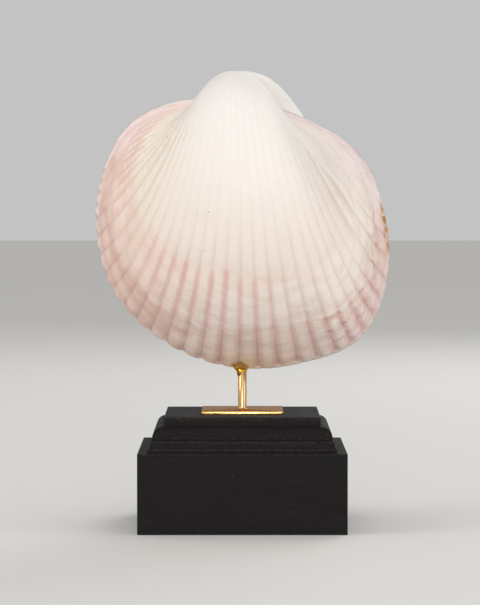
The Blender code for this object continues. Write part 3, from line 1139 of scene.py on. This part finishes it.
    def grown(self, relief: Node) -> Node:
        """Adds the growth itself: relief, turn and shrink about the pole, hollow, lean and mirror.

        Args:
            relief: how far a point stands out.

        Returns:
            The node that moved the points.
        """
        node, given = self.node, self.given
        outward = node("GeometryNodeInputNamedAttribute", "outward", data_type="FLOAT_VECTOR")
        standing = node("VectorMath", outward, relief, operation="SCALE")
        start = node("VectorMath", node("GeometryNodeInputPosition"), standing, operation="ADD")
        pole = node("CombineXYZ", None, node("SUBTRACT", 0.0, given["Pole Depth"]))
        arm = node("VectorMath", start, pole, operation="SUBTRACT")
        short_arm = node("VectorMath", arm, node("DIVIDE", 1.0, self.unshrink), operation="SCALE")
        shrunk = node("VectorMath", short_arm, pole, operation="ADD")
        back = node("MULTIPLY", self.toothed_turn(), -1.0)
        turned = node("VectorRotate", {"Vector": shrunk, "Center": pole, "Angle": back},
                      rotation_type="X_AXIS")

        # The lining is the same shell, drawn in towards the hollow's centre
        centre = given["Hollow Centre"]
        from_centre = node("VectorMath", turned, centre, operation="SUBTRACT")
        inner_arm = node("VectorMath", from_centre, given["Hollow Ratio"], operation="SCALE")
        inner = node("VectorMath", inner_arm, centre, operation="ADD")
        either = node("Mix", self.mark["lining"], turned, inner, data_type="VECTOR")
        split = node("SeparateXYZ", either).outputs
        leant = node("SUBTRACT", split["X"], node("MULTIPLY", split["Y"], given["Umbo Lean"]))
        sided = node("MULTIPLY", node("SUBTRACT", split["Y"], given["Parting"]), given["Side"])
        place = node("CombineXYZ", leant, sided, split["Z"])
        # The painted highlights and shade go to the shell's colour by the top mark
        top = node("ADD", *self.tops)
        marked = node("GeometryNodeStoreNamedAttribute", given["Geometry"], None, "top", top,
                      data_type="FLOAT", domain="POINT")
        return node("GeometryNodeSetPosition", {"Geometry": marked, "Position": place})

    def finish(self, moved: Node) -> None:
        """Adds the mirrored valve's flipped faces, the seat on the rod, and the finish.

        Args:
            moved: the node that moved the points.
        """
        node, given = self.node, self.given
        flipped = node("GeometryNodeFlipFaces", moved, node("LESS_THAN", given["Side"], 0.0))
        seat = {"Translation": given["Seat Place"], "Rotation": given["Seat Turn"]}
        seated = node("GeometryNodeTransform", flipped, seat)
        real = node("GeometryNodeRealizeInstances", node("GeometryNodeSetShadeSmooth", seated))
        node("NodeGroupOutput", node("GeometryNodeSetMaterial", real, {"Material": given["Finish"]}))


@dataclass
class Valve:
    """One hollow half of the shell."""

    side: Side
    node_name: str
    growth: SpiralGrowth = field(default_factory=SpiralGrowth)
    relief: ShellRelief = field(default_factory=ShellRelief)
    tints: ShellColourPatches = field(default_factory=ShellColourPatches)

    def columns(self) -> np.ndarray:
        """Gives the grid's angles at the margin: eight to a rib, then the smooth hinge side.

        Returns:
            Degrees from straight down, rising, round the whole margin.
        """
        grooves = self.relief.grooves(self.side)
        ribbed = [left + (right - left) * station
                  for left, right in zip(grooves, grooves[1:]) for station in self.relief.stations]
        hinge = np.linspace(grooves[-1], grooves[0] + 360.0, self.relief.hinge_columns + 1)[:-1]
        return np.concatenate([ribbed, hinge])

    def rows(self) -> np.ndarray:
        """Gives the turns of growth of the grid's rows, close together near the margin.

        Returns:
            Turns back from the margin, in radians.
        """
        turns = [0.0]
        for end, step in self.relief.row_steps:
            count = round((end - turns[-1]) / step)
            turns += list(np.linspace(turns[-1], end, count + 1)[1:])
        return np.array(turns)

    def marks(self, margin_angle: np.ndarray, turn: np.ndarray, lining: float) -> dict[str, np.ndarray]:
        """Gives every growth mark on a grid of points.

        Args:
            margin_angle: the rib's angle at the margin, in degrees.
            turn: turns of growth back from the margin, in radians.
            lining: 1 on the inside of the shell, else 0.

        Returns:
            Arrays by mark name, with the points' places under "co".
        """
        ribs, growth = self.relief, self.growth
        grooves = ribs.grooves(self.side)
        numbers = np.arange(len(grooves))
        angle = margin_angle + self.splayed(margin_angle, turn)
        rib = np.interp(margin_angle, np.append(grooves, grooves[0] + 360.0), np.append(numbers, 0))
        rib_middle = np.interp(np.floor(rib) + 0.5, numbers, grooves)
        folded = (angle + 90.0) % 360.0 - 90.0
        last, first = (np.interp(folded, *np.array(line).T) for line in (ribs.last_pause, ribs.first_pause))
        between = LAST_PAUSE_AGE + (FIRST_PAUSE_AGE - LAST_PAUSE_AGE) * (turn - last) / (first - last)
        age = np.where(turn < last, LAST_PAUSE_AGE * turn / last, between)
        age = np.where(turn < first, age, FIRST_PAUSE_AGE + turn - first)
        everywhere = np.zeros_like(angle)
        ribbed = with_ribs = ribs.ribbed_zone.cover(folded, turn)
        for patch in ribs.smoother:
            ribbed = ribbed * (1.0 - patch.cover(folded, turn))
        near_grooves = ribs.grooves(Side.LEFT)
        tooth = np.cos(2.0 * pi * np.interp(margin_angle, near_grooves, np.arange(len(near_grooves))))
        marks = {
            "co": growth.margin_points(angle), "outward": growth.outward(angle), "turn": turn + everywhere,
            "grown": growth.grown_points(angle, turn),
            "rib": rib, "reach": growth.reach(angle), "run": growth.run(growth.reach(rib_middle), turn),
            "lining": everywhere + lining, "ribbed": ribbed, "age": age,
            "tooth": self.side.value * tooth * self.total(ribs.teeth, folded, everywhere),
            "last": last, "last_rise": with_ribs * self.total(ribs.last_rise, folded, turn),
            "first": first, "first_rise": with_ribs * self.total(ribs.first_rise, folded, turn),
            "scallop": self.total(ribs.scallops, folded, turn),
            "ridge": self.along_ridges(folded, turn, 0.0, ribs.ridge_half_width),
            "valley": self.along_ridges(folded, turn, ribs.valley_shift, ribs.valley_half_width),
        }
        grown = {name: getattr(ribs, name) for name in ("beads", "knobs", "ladder", "crumbs", "folds")}
        for name, patches in (grown | vars(self.tints)).items():
            marks[name] = self.total(patches, folded, turn)
        return marks

    def along_ridges(self, angle: np.ndarray, turn: np.ndarray, shift: float,
                     half_width: float) -> np.ndarray:
        """Gives a soft band along each shoulder ridge, or beside it.

        Args:
            angle: degrees round the pole.
            turn: turns of growth.
            shift: how far beside the ridge the band lies, in degrees.
            half_width: the band's half width, in degrees.

        Returns:
            The share of the band at each point.
        """
        bands = [np.exp(-((angle - shift - np.interp(turn, *np.array(line).T)) / half_width) ** 2)
                 for line in self.relief.ridges]
        return self.relief.ridge_zone.cover(angle, turn) * np.minimum(sum(bands), 1.0)

    def splayed(self, margin_angle: np.ndarray, turn: np.ndarray) -> np.ndarray:
        """Gives how far the flanks' ribs lie outside their angle at the margin.

        Args:
            margin_angle: the rib's angle at the margin, in degrees.
            turn: turns of growth back from the margin, in radians.

        Returns:
            Degrees to add to the angle.
        """
        amount = np.zeros_like(margin_angle + turn)
        slowing = self.relief.splay_turns * np.tanh(turn / self.relief.splay_turns)
        for base, rate, full, none in self.relief.splays:
            beyond = np.maximum((margin_angle - base) * np.sign(full - base), 0.0) * np.sign(full - base)
            fade = 1.0 - smooth_step(full, none, margin_angle)
            amount = amount + beyond * (np.exp(rate * slowing) - 1.0) * fade
        return amount

    @staticmethod
    def total(patches: tuple[Patch, ...], angle: np.ndarray, turn: np.ndarray) -> np.ndarray:
        """Adds up how far patches cover each point, to 1 at most."""
        return np.minimum(sum(patch.cover(angle, turn) for patch in patches), 1.0)

    def grid(self) -> Object:
        """Makes the flat grid of growth marks: outside, rim, lining, and a cap on each end.

        Returns:
            The object that the growth modifier will shape.
        """
        column, row = self.columns(), self.rows()
        lining_turns = self.growth.hollow_turns
        lining_row = np.linspace(0.0, lining_turns, round(lining_turns / self.relief.lining_step) + 1)
        every = self.relief.lining_every
        layers = [(column, row, 0.0), (column[::every], lining_row, 1.0)]
        parts, faces, base = [], [], 0
        for angles, turns, lining in layers:
            angle_grid, turn_grid = np.meshgrid(angles, turns)
            marks = self.marks(angle_grid, turn_grid, lining)
            wide, tall = len(angles), len(turns)
            flat = {name: value.reshape(wide * tall, -1) for name, value in marks.items()}
            tip = {name: value[-wide:].mean(axis=0, keepdims=True) for name, value in flat.items()}
            parts.append({name: np.vstack([flat[name], tip[name]]) for name in flat})
            index = base + np.arange(wide * tall).reshape(tall, wide)
            beside = np.roll(index, -1, axis=1)
            quads = np.stack([index[:-1], beside[:-1], beside[1:], index[1:]], axis=-1).reshape(-1, 4)
            cap = [(index[-1][i], beside[-1][i], base + wide * tall) for i in range(wide)]
            if lining:
                quads = quads[:, ::-1]
                cap = [corner[::-1] for corner in cap]
            faces += quads.tolist() + [list(map(int, corner)) for corner in cap]
            base += wide * tall + 1
        outer_count = len(column)
        inner_start = len(parts[0]["turn"])
        inner_count = len(column[::every])
        for i in range(inner_count):
            here, after = inner_start + i, inner_start + (i + 1) % inner_count
            outer = [(i * every + j) % outer_count for j in range(every + 1)]
            faces += [[outer[j + 1], outer[j], here] for j in range(every)]
            faces.append([outer[-1], here, after])
        joined = {name: np.vstack([part[name] for part in parts]) for name in parts[0]}
        mesh = bpy.data.meshes.new(self.node_name + "_grid")
        mesh.from_pydata(joined.pop("co").tolist(), [], faces)
        for name, value in joined.items():
            is_vector = name in ("outward", "grown")
            layer = mesh.attributes.new(name, "FLOAT_VECTOR" if is_vector else "FLOAT", "POINT")
            layer.data.foreach_set("vector" if is_vector else "value", value.ravel().astype(np.float32))
        return linked(self.node_name + "_grid", mesh)

    def build(self, recipe: ValveTree, finish: Material) -> Object:
        """Grows the valve and dresses it.

        Args:
            recipe: the growth tree.
            finish: the shell's material.

        Returns:
            The finished piece.
        """
        # An input is named as its field is, in capitals and with spaces
        sizes = (vars(self.growth) | vars(self.relief)).items()
        values = {name.replace("_", " ").title(): value for name, value in sizes}
        values |= {
            "Side": float(self.side.value), "Seed": self.relief.seed + self.side.value,
            "Seat Turn": tuple(self.growth.seat_turn()), "Finish": finish,
        }
        maker = self.grid()
        modifier = maker.modifiers.new("growth", "NODES")
        modifier.node_group = recipe.tree
        for name in (*recipe.NUMBERS, *recipe.PLACES, "Finish"):
            modifier[recipe.sockets[name].identifier] = values[name]
        piece = baked_mesh(maker, self.node_name + "_grown")
        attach(piece, "root")
        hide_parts(self.node_name)
        return piece


@dataclass
class BrassMount:
    """The round rod and the square plate that it stands on."""

    rod_radius: float = 2.0 * MM
    rod_segments: int = 48
    flare_width: float = 0.7 * MM
    flare_height: float = 0.9 * MM
    flare_steps: int = 6
    sunk: float = 0.15 * MM
    plate_corner: float = 0.5 * MM
    plate_edge: float = 0.22 * MM
    finish: LacqueredBrass = field(default_factory=LacqueredBrass)

    def build_rod(self, plate_top: float) -> Object:
        """Turns the rod, with its soldered flare at the foot.

        Args:
            plate_top: the plate's upper face.

        Returns:
            The finished piece.
        """
        top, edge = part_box("brass_rod")[1].z, self.plate_edge
        profile = [(0.0, top), (self.rod_radius - edge, top), (self.rod_radius, top - edge)]
        for turn in np.linspace(0.0, pi / 2, self.flare_steps + 1):
            profile.append((self.rod_radius + self.flare_width * (1.0 - cos(turn)),
                            plate_top + self.flare_height * (1.0 - sin(turn))))
        profile += [(profile[-1][0], plate_top - self.sunk), (0.0, plate_top - self.sunk)]
        builder = bmesh.new()
        verts = [builder.verts.new((radius, 0.0, height)) for radius, height in profile]
        edges = [builder.edges.new(pair) for pair in zip(verts, verts[1:])]
        bmesh.ops.spin(builder, geom=verts + edges, axis=(0, 0, 1), cent=(0, 0, 0), dvec=(0, 0, 0),
                       angle=2.0 * pi, steps=self.rod_segments, use_merge=True)
        bmesh.ops.remove_doubles(builder, verts=builder.verts, dist=0.01 * MM)
        bmesh.ops.recalc_face_normals(builder, faces=builder.faces)
        return mesh_object("brass_rod_turned", builder, sharp_from=50.0)

    def build_plate(self) -> Object:
        """Makes the square plate with eased corners, resting on the plinth.

        Returns:
            The finished piece.
        """
        low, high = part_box("brass_plate")
        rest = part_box("plinth")[1].z
        builder = bmesh.new()
        bmesh.ops.create_cube(builder, size=1.0)
        size = Vector((high.x - low.x, high.y - low.y, high.z - rest))
        bmesh.ops.scale(builder, vec=size, verts=builder.verts)
        bmesh.ops.translate(builder, vec=(0.0, 0.0, (high.z + rest) / 2), verts=builder.verts)
        upright = [e for e in builder.edges if abs(e.verts[0].co.z - e.verts[1].co.z) > size.z / 2]
        bmesh.ops.bevel(builder, geom=upright, offset=self.plate_corner, segments=4, profile=0.5,
                        affect="EDGES")
        rims = [e for e in builder.edges if len(e.link_faces) == 2 and e.calc_face_angle() > radians(60)]
        bmesh.ops.bevel(builder, geom=rims, offset=self.plate_edge, segments=3, profile=0.5, affect="EDGES")
        return mesh_object("brass_plate_eased", builder, sharp_from=40.0)

    def build(self) -> list[Object]:
        """Builds and dresses both brass pieces.

        Returns:
            The rod and the plate.
        """
        plate = self.build_plate()
        rod = self.build_rod(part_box("brass_plate")[1].z)
        finish = self.finish
        for piece, node_name, name, colour, lines in (
            (rod, "brass_rod", "brass rod, drawn and lacquered", finish.rod_colour, finish.rod_lines),
            (plate, "brass_plate", "brass plate, brushed and lacquered", finish.plate_colour,
             finish.plate_lines),
        ):
            piece.data.materials.append(finish.material(name, colour, lines))
            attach(piece, "root")
            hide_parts(node_name)
        return [rod, plate]


@dataclass
class GlueBead:
    """The bead of glue round the rod's end, with the web and the smear that ran from it."""

    voxel: float = 0.22 * MM
    smoothing: int = 9

    # Each lump's middle and its half sizes, in mm
    lumps: tuple[tuple[float, float, float, float, float, float], ...] = (
        (0.0, -0.2, 74.6, 3.0, 4.3, 3.1), (0.3, -1.4, 76.0, 2.5, 3.4, 2.5), (-1.9, -1.0, 74.1, 2.3, 2.8, 2.0),
        (0.0, 0.0, 72.8, 2.5, 2.5, 1.8), (-3.6, -1.2, 74.9, 2.0, 2.3, 1.0), (2.3, -0.6, 75.1, 1.8, 2.9, 1.3),
        (-1.5, -0.6, 71.9, 1.2, 1.9, 2.4), (-1.7, -0.7, 70.9, 0.75, 1.3, 1.3),
    )
    finish: AmberGlue = field(default_factory=AmberGlue)

    def build(self) -> Object:
        """Melts the lumps into one bead and dresses it.

        Returns:
            The finished piece.
        """
        builder = bmesh.new()
        for x, y, z, wide, deep, high in self.lumps:
            made = bmesh.ops.create_icosphere(builder, subdivisions=4, radius=1.0)["verts"]
            bmesh.ops.scale(builder, vec=(wide * MM, deep * MM, high * MM), verts=made)
            bmesh.ops.translate(builder, vec=(x * MM, y * MM, z * MM), verts=made)
        maker = mesh_object("glue_lumps", builder)
        melted = maker.modifiers.new("melted", "REMESH")
        melted.mode = "VOXEL"
        melted.voxel_size = self.voxel
        eased = maker.modifiers.new("eased", "SMOOTH")
        eased.factor = 0.5
        eased.iterations = self.smoothing
        bead = baked_mesh(maker, "glue_bead")
        bead.data.shade_smooth()
        bead.data.materials.append(self.finish.material())
        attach(bead, "root")
        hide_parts("glue")
        return bead


@dataclass
class Plinth:
    """The square moulded block: a slab on an ovolo, a lower moulding and a plain base."""

    slab_underside: float = 48.7 * MM
    slab_half_width: float = 36.0 * MM
    quirk: float = 0.6 * MM
    ovolo_radius: float = 4.6 * MM
    arris: float = 0.35 * MM
    arc_steps: int = 3
    ovolo_steps: int = 12
    wear_reach: float = 1.1 * MM
    corner_cut: float = 0.3 * arris

    # A bend under soft_bend, in radians, isn't rounded and is worn by soft_wear. A cut takes most_cut of
    # a side at most. A side over long_side times the wear's reach stays unworn in its middle.
    soft_bend: float = radians(25)
    soft_wear: float = 0.15
    most_cut: float = 0.4
    long_side: float = 4.0

    # Where a side of the square has columns, in half widths from its middle
    side_places: tuple[float, ...] = (-0.985, -0.93, -0.6, -0.2, 0.2, 0.6, 0.93, 0.985)

    # The lower moulding, as mm beyond the ovolo's side and mm of height
    lower_moulding: tuple[tuple[float, float], ...] = (
        (0.5, 43.3), (0.0, 42.9), (0.0, 42.5), (0.9, 42.0), (1.1, 40.4), (1.5, 39.2), (2.2, 38.5),
        (2.2, 36.9),
    )
    finish: BlackPaintedWood = field(default_factory=BlackPaintedWood)

    def profile(self, half_width: float, height: float) -> list[tuple[float, float]]:
        """Gives the moulding's outline from the top's middle to the underside.

        Args:
            half_width: half of the base's width.
            height: the plinth's height.

        Returns:
            Half widths and heights in metres.
        """
        ovolo_side = self.slab_half_width + self.quirk + self.ovolo_radius
        ovolo_foot = self.slab_underside - self.ovolo_radius
        points = [(0.0, height), (self.slab_half_width, height), (self.slab_half_width, self.slab_underside)]
        for turn in np.linspace(0.0, pi / 2, self.ovolo_steps + 1):
            points.append((ovolo_side - self.ovolo_radius * (1.0 - sin(turn)),
                           ovolo_foot + self.ovolo_radius * cos(turn)))
        points += [(ovolo_side + beyond * MM, at * MM) for beyond, at in self.lower_moulding]
        return points + [(half_width, points[-1][1]), (half_width, 0.0), (0.0, 0.0)]

    def eased_profile(self, points: list[tuple[float, float]]) -> list[tuple[float, float, float]]:
        """Rounds every sharp corner of the outline and marks how near an arris each point is.

        Args:
            points: the sharp outline.

        Returns:
            Half width, height and nearness to an arris.
        """
        eased = [(*points[0], 0.0)]
        for before, here, after in zip(points, points[1:], points[2:]):
            a, b, c = Vector(before), Vector(here), Vector(after)
            into, out = (b - a), (c - b)
            if into.angle(out) < self.soft_bend:
                eased.append((*here, self.soft_wear))
                continue
            outer = into.cross(out) < 0
            cut_in = min(self.arris, into.length * self.most_cut)
            cut_out = min(self.arris, out.length * self.most_cut)
            if into.length > self.long_side * self.wear_reach:
                eased.append((*(b - into.normalized() * self.wear_reach), 0.0))
            for i in range(self.arc_steps + 1):
                u = i / self.arc_steps
                start, end = b - into.normalized() * cut_in, b + out.normalized() * cut_out
                point = start.lerp(b, u).lerp(b.lerp(end, u), u)
                eased.append((*point, 1.0 if outer else 0.0))
            if out.length > self.long_side * self.wear_reach:
                eased.append((*(b + out.normalized() * self.wear_reach), 0.0))
        return eased + [(*points[-1], 0.0)]

    def corner_columns(self) -> list[tuple[float, float, float]]:
        """Gives places round a square of half width 1, as x, y and nearness to a corner.

        Returns:
            For each column its direction, and 1 at a corner, else 0.
        """
        columns = []
        for quarter in range(4):
            turn = Matrix.Rotation(pi / 2 * quarter, 2)
            columns += [(*(turn @ Vector((along, -1.0))), 0.0) for along in self.side_places]
            columns.append((*(turn @ Vector((1.0, -1.0))), 1.0))
        return columns

    def build(self) -> Object:
        """Lofts the plinth round its square and dresses it.

        Returns:
            The finished piece.
        """
        low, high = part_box("plinth")
        outline = self.eased_profile(self.profile((high.x - low.x) / 2, high.z))
        columns = self.corner_columns()
        builder = bmesh.new()
        layer = builder.verts.layers.float.new("arris")
        rings = []
        for half, height, near_edge in outline[1:-1]:
            ring = []
            for x, y, near_corner in columns:
                ease = self.corner_cut * near_corner
                vert = builder.verts.new((x * (half - ease), y * (half - ease), height))
                vert[layer] = max(near_edge, near_corner)
                ring.append(vert)
            rings.append(ring)
        for upper, lower in zip(rings, rings[1:]):
            for i in range(len(columns)):
                builder.faces.new((upper[i - 1], lower[i - 1], lower[i], upper[i]))
        for ring, height in ((rings[0], outline[0][1]), (rings[-1], outline[-1][1])):
            middle = builder.verts.new((0.0, 0.0, height))
            for i in range(len(columns)):
                builder.faces.new((ring[i - 1], ring[i], middle))
        bmesh.ops.recalc_face_normals(builder, faces=builder.faces)
        block = mesh_object("plinth_painted", builder, sharp_from=40.0)
        block.data.materials.append(self.finish.material())
        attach(block, "root")
        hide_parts("plinth")
        return block


@dataclass
class Studio:
    """A plain pale floor, soft light and the camera at the photograph's place."""

    floor_half: float = 9.0
    floor_colour: str = "E6E4E0"
    world_colour: str = "E6E6E6"
    world_strength: float = 0.69
    camera_place: tuple[float, float, float] = (-1.08 * MM, -1400.0 * MM, 154.2 * MM)
    focal_px: float = 2978.7
    frame_height_px: float = 605.0
    horizon_px: float = 196.4

    # Each lamp's name, place, width in metres, power in watts and spread in degrees
    lamps: tuple[tuple[str, tuple[float, float, float], float, float, float], ...] = (
        ("key", (0.12, -1.10, 1.15), 1.3, 2.0, 180.0),
        ("fill", (0.0, -2.30, 0.40), 0.9, 1.18, 50.0),
        ("left", (-1.35, -0.60, 0.95), 0.9, 5.5, 180.0),
        ("right", (1.50, -0.70, 0.50), 0.9, 2.7, 180.0),
        ("low", (0.08, -1.30, 0.10), 0.3, 0.06, 30.0),
        ("back", (0.6, 1.30, 1.00), 0.9, 6.0, 180.0),
    )
    aim: tuple[float, float, float] = (0.0, 0.0, 0.14)

    def build_floor(self) -> None:
        """Lays the floor, matt and faintly mottled."""
        builder = bmesh.new()
        bmesh.ops.create_grid(builder, x_segments=8, y_segments=8, size=self.floor_half)
        floor = mesh_object("floor", builder)

        # Painted board is matt and even, so the object's shadow lies soft and clean on it
        made, node, place = new_material("board, painted matt")
        gloss = node("MapRange", node("TexNoise", place, 30.0, 3.0), 0.0, 1.0, 0.7, 0.85)
        shader = node("BsdfPrincipled", {"Base Color": self.floor_colour, "Roughness": gloss})
        node("OutputMaterial", {"Surface": shader})
        floor.data.materials.append(made)

    def build_light(self) -> None:
        """Sets the even surrounding light and the soft lamps."""
        scene = bpy.context.scene
        world = bpy.data.worlds.new("studio")
        world.use_nodes = True
        world.node_tree.nodes.clear()
        node = partial(add_node, world.node_tree)
        light = node("Background", {"Color": self.world_colour, "Strength": self.world_strength})
        node("OutputWorld", {"Surface": light})
        scene.world = world
        for name, place, size, power, spread in self.lamps:
            lamp = bpy.data.lights.new(name, "AREA")
            lamp.shape = "DISK"
            lamp.size = size
            lamp.energy = power
            lamp.spread = radians(spread)
            holder = linked(name, lamp)
            holder.location = place
            holder.rotation_euler = (Vector(self.aim) - Vector(place)).to_track_quat("-Z", "Y").to_euler()
            holder.visible_camera = False
        scene.view_settings.view_transform = "Standard"

    def build_camera(self) -> None:
        """Places the camera: the photograph's distance, lens and slight downward tilt."""
        lens = bpy.data.cameras.new("camera")
        lens.sensor_width = 36.0
        lens.lens = self.focal_px * lens.sensor_width / self.frame_height_px
        lens.clip_end = 20.0
        camera = linked("camera", lens)
        camera.location = self.camera_place
        drop = (self.frame_height_px / 2 - self.horizon_px) / self.focal_px
        camera.rotation_euler = Vector((0.0, 1.0, -drop)).to_track_quat("-Z", "Y").to_euler()
        bpy.context.scene.camera = camera

    def build(self) -> None:
        """Builds floor, light and camera."""
        self.build_floor()
        self.build_light()
        self.build_camera()


def main() -> None:
    """Builds every piece in order and reports it."""
    logging.basicConfig(level=logging.INFO, format="%(name)s: %(message)s")
    Studio().build()
    pieces = []
    recipe = ValveTree()
    shell_finish = GrownAragonite().material(ShellRelief(), SpiralGrowth())
    for side, node_name in ((Side.LEFT, "left_valve"), (Side.RIGHT, "right_valve")):
        pieces.append(Valve(side, node_name).build(recipe, shell_finish))
    pieces.append(GlueBead().build())
    pieces += BrassMount().build()
    pieces.append(Plinth().build())
    for piece in pieces:
        log.info("%s: %d faces", piece.name, len(piece.data.polygons))


if __name__ == "__main__":
    main()
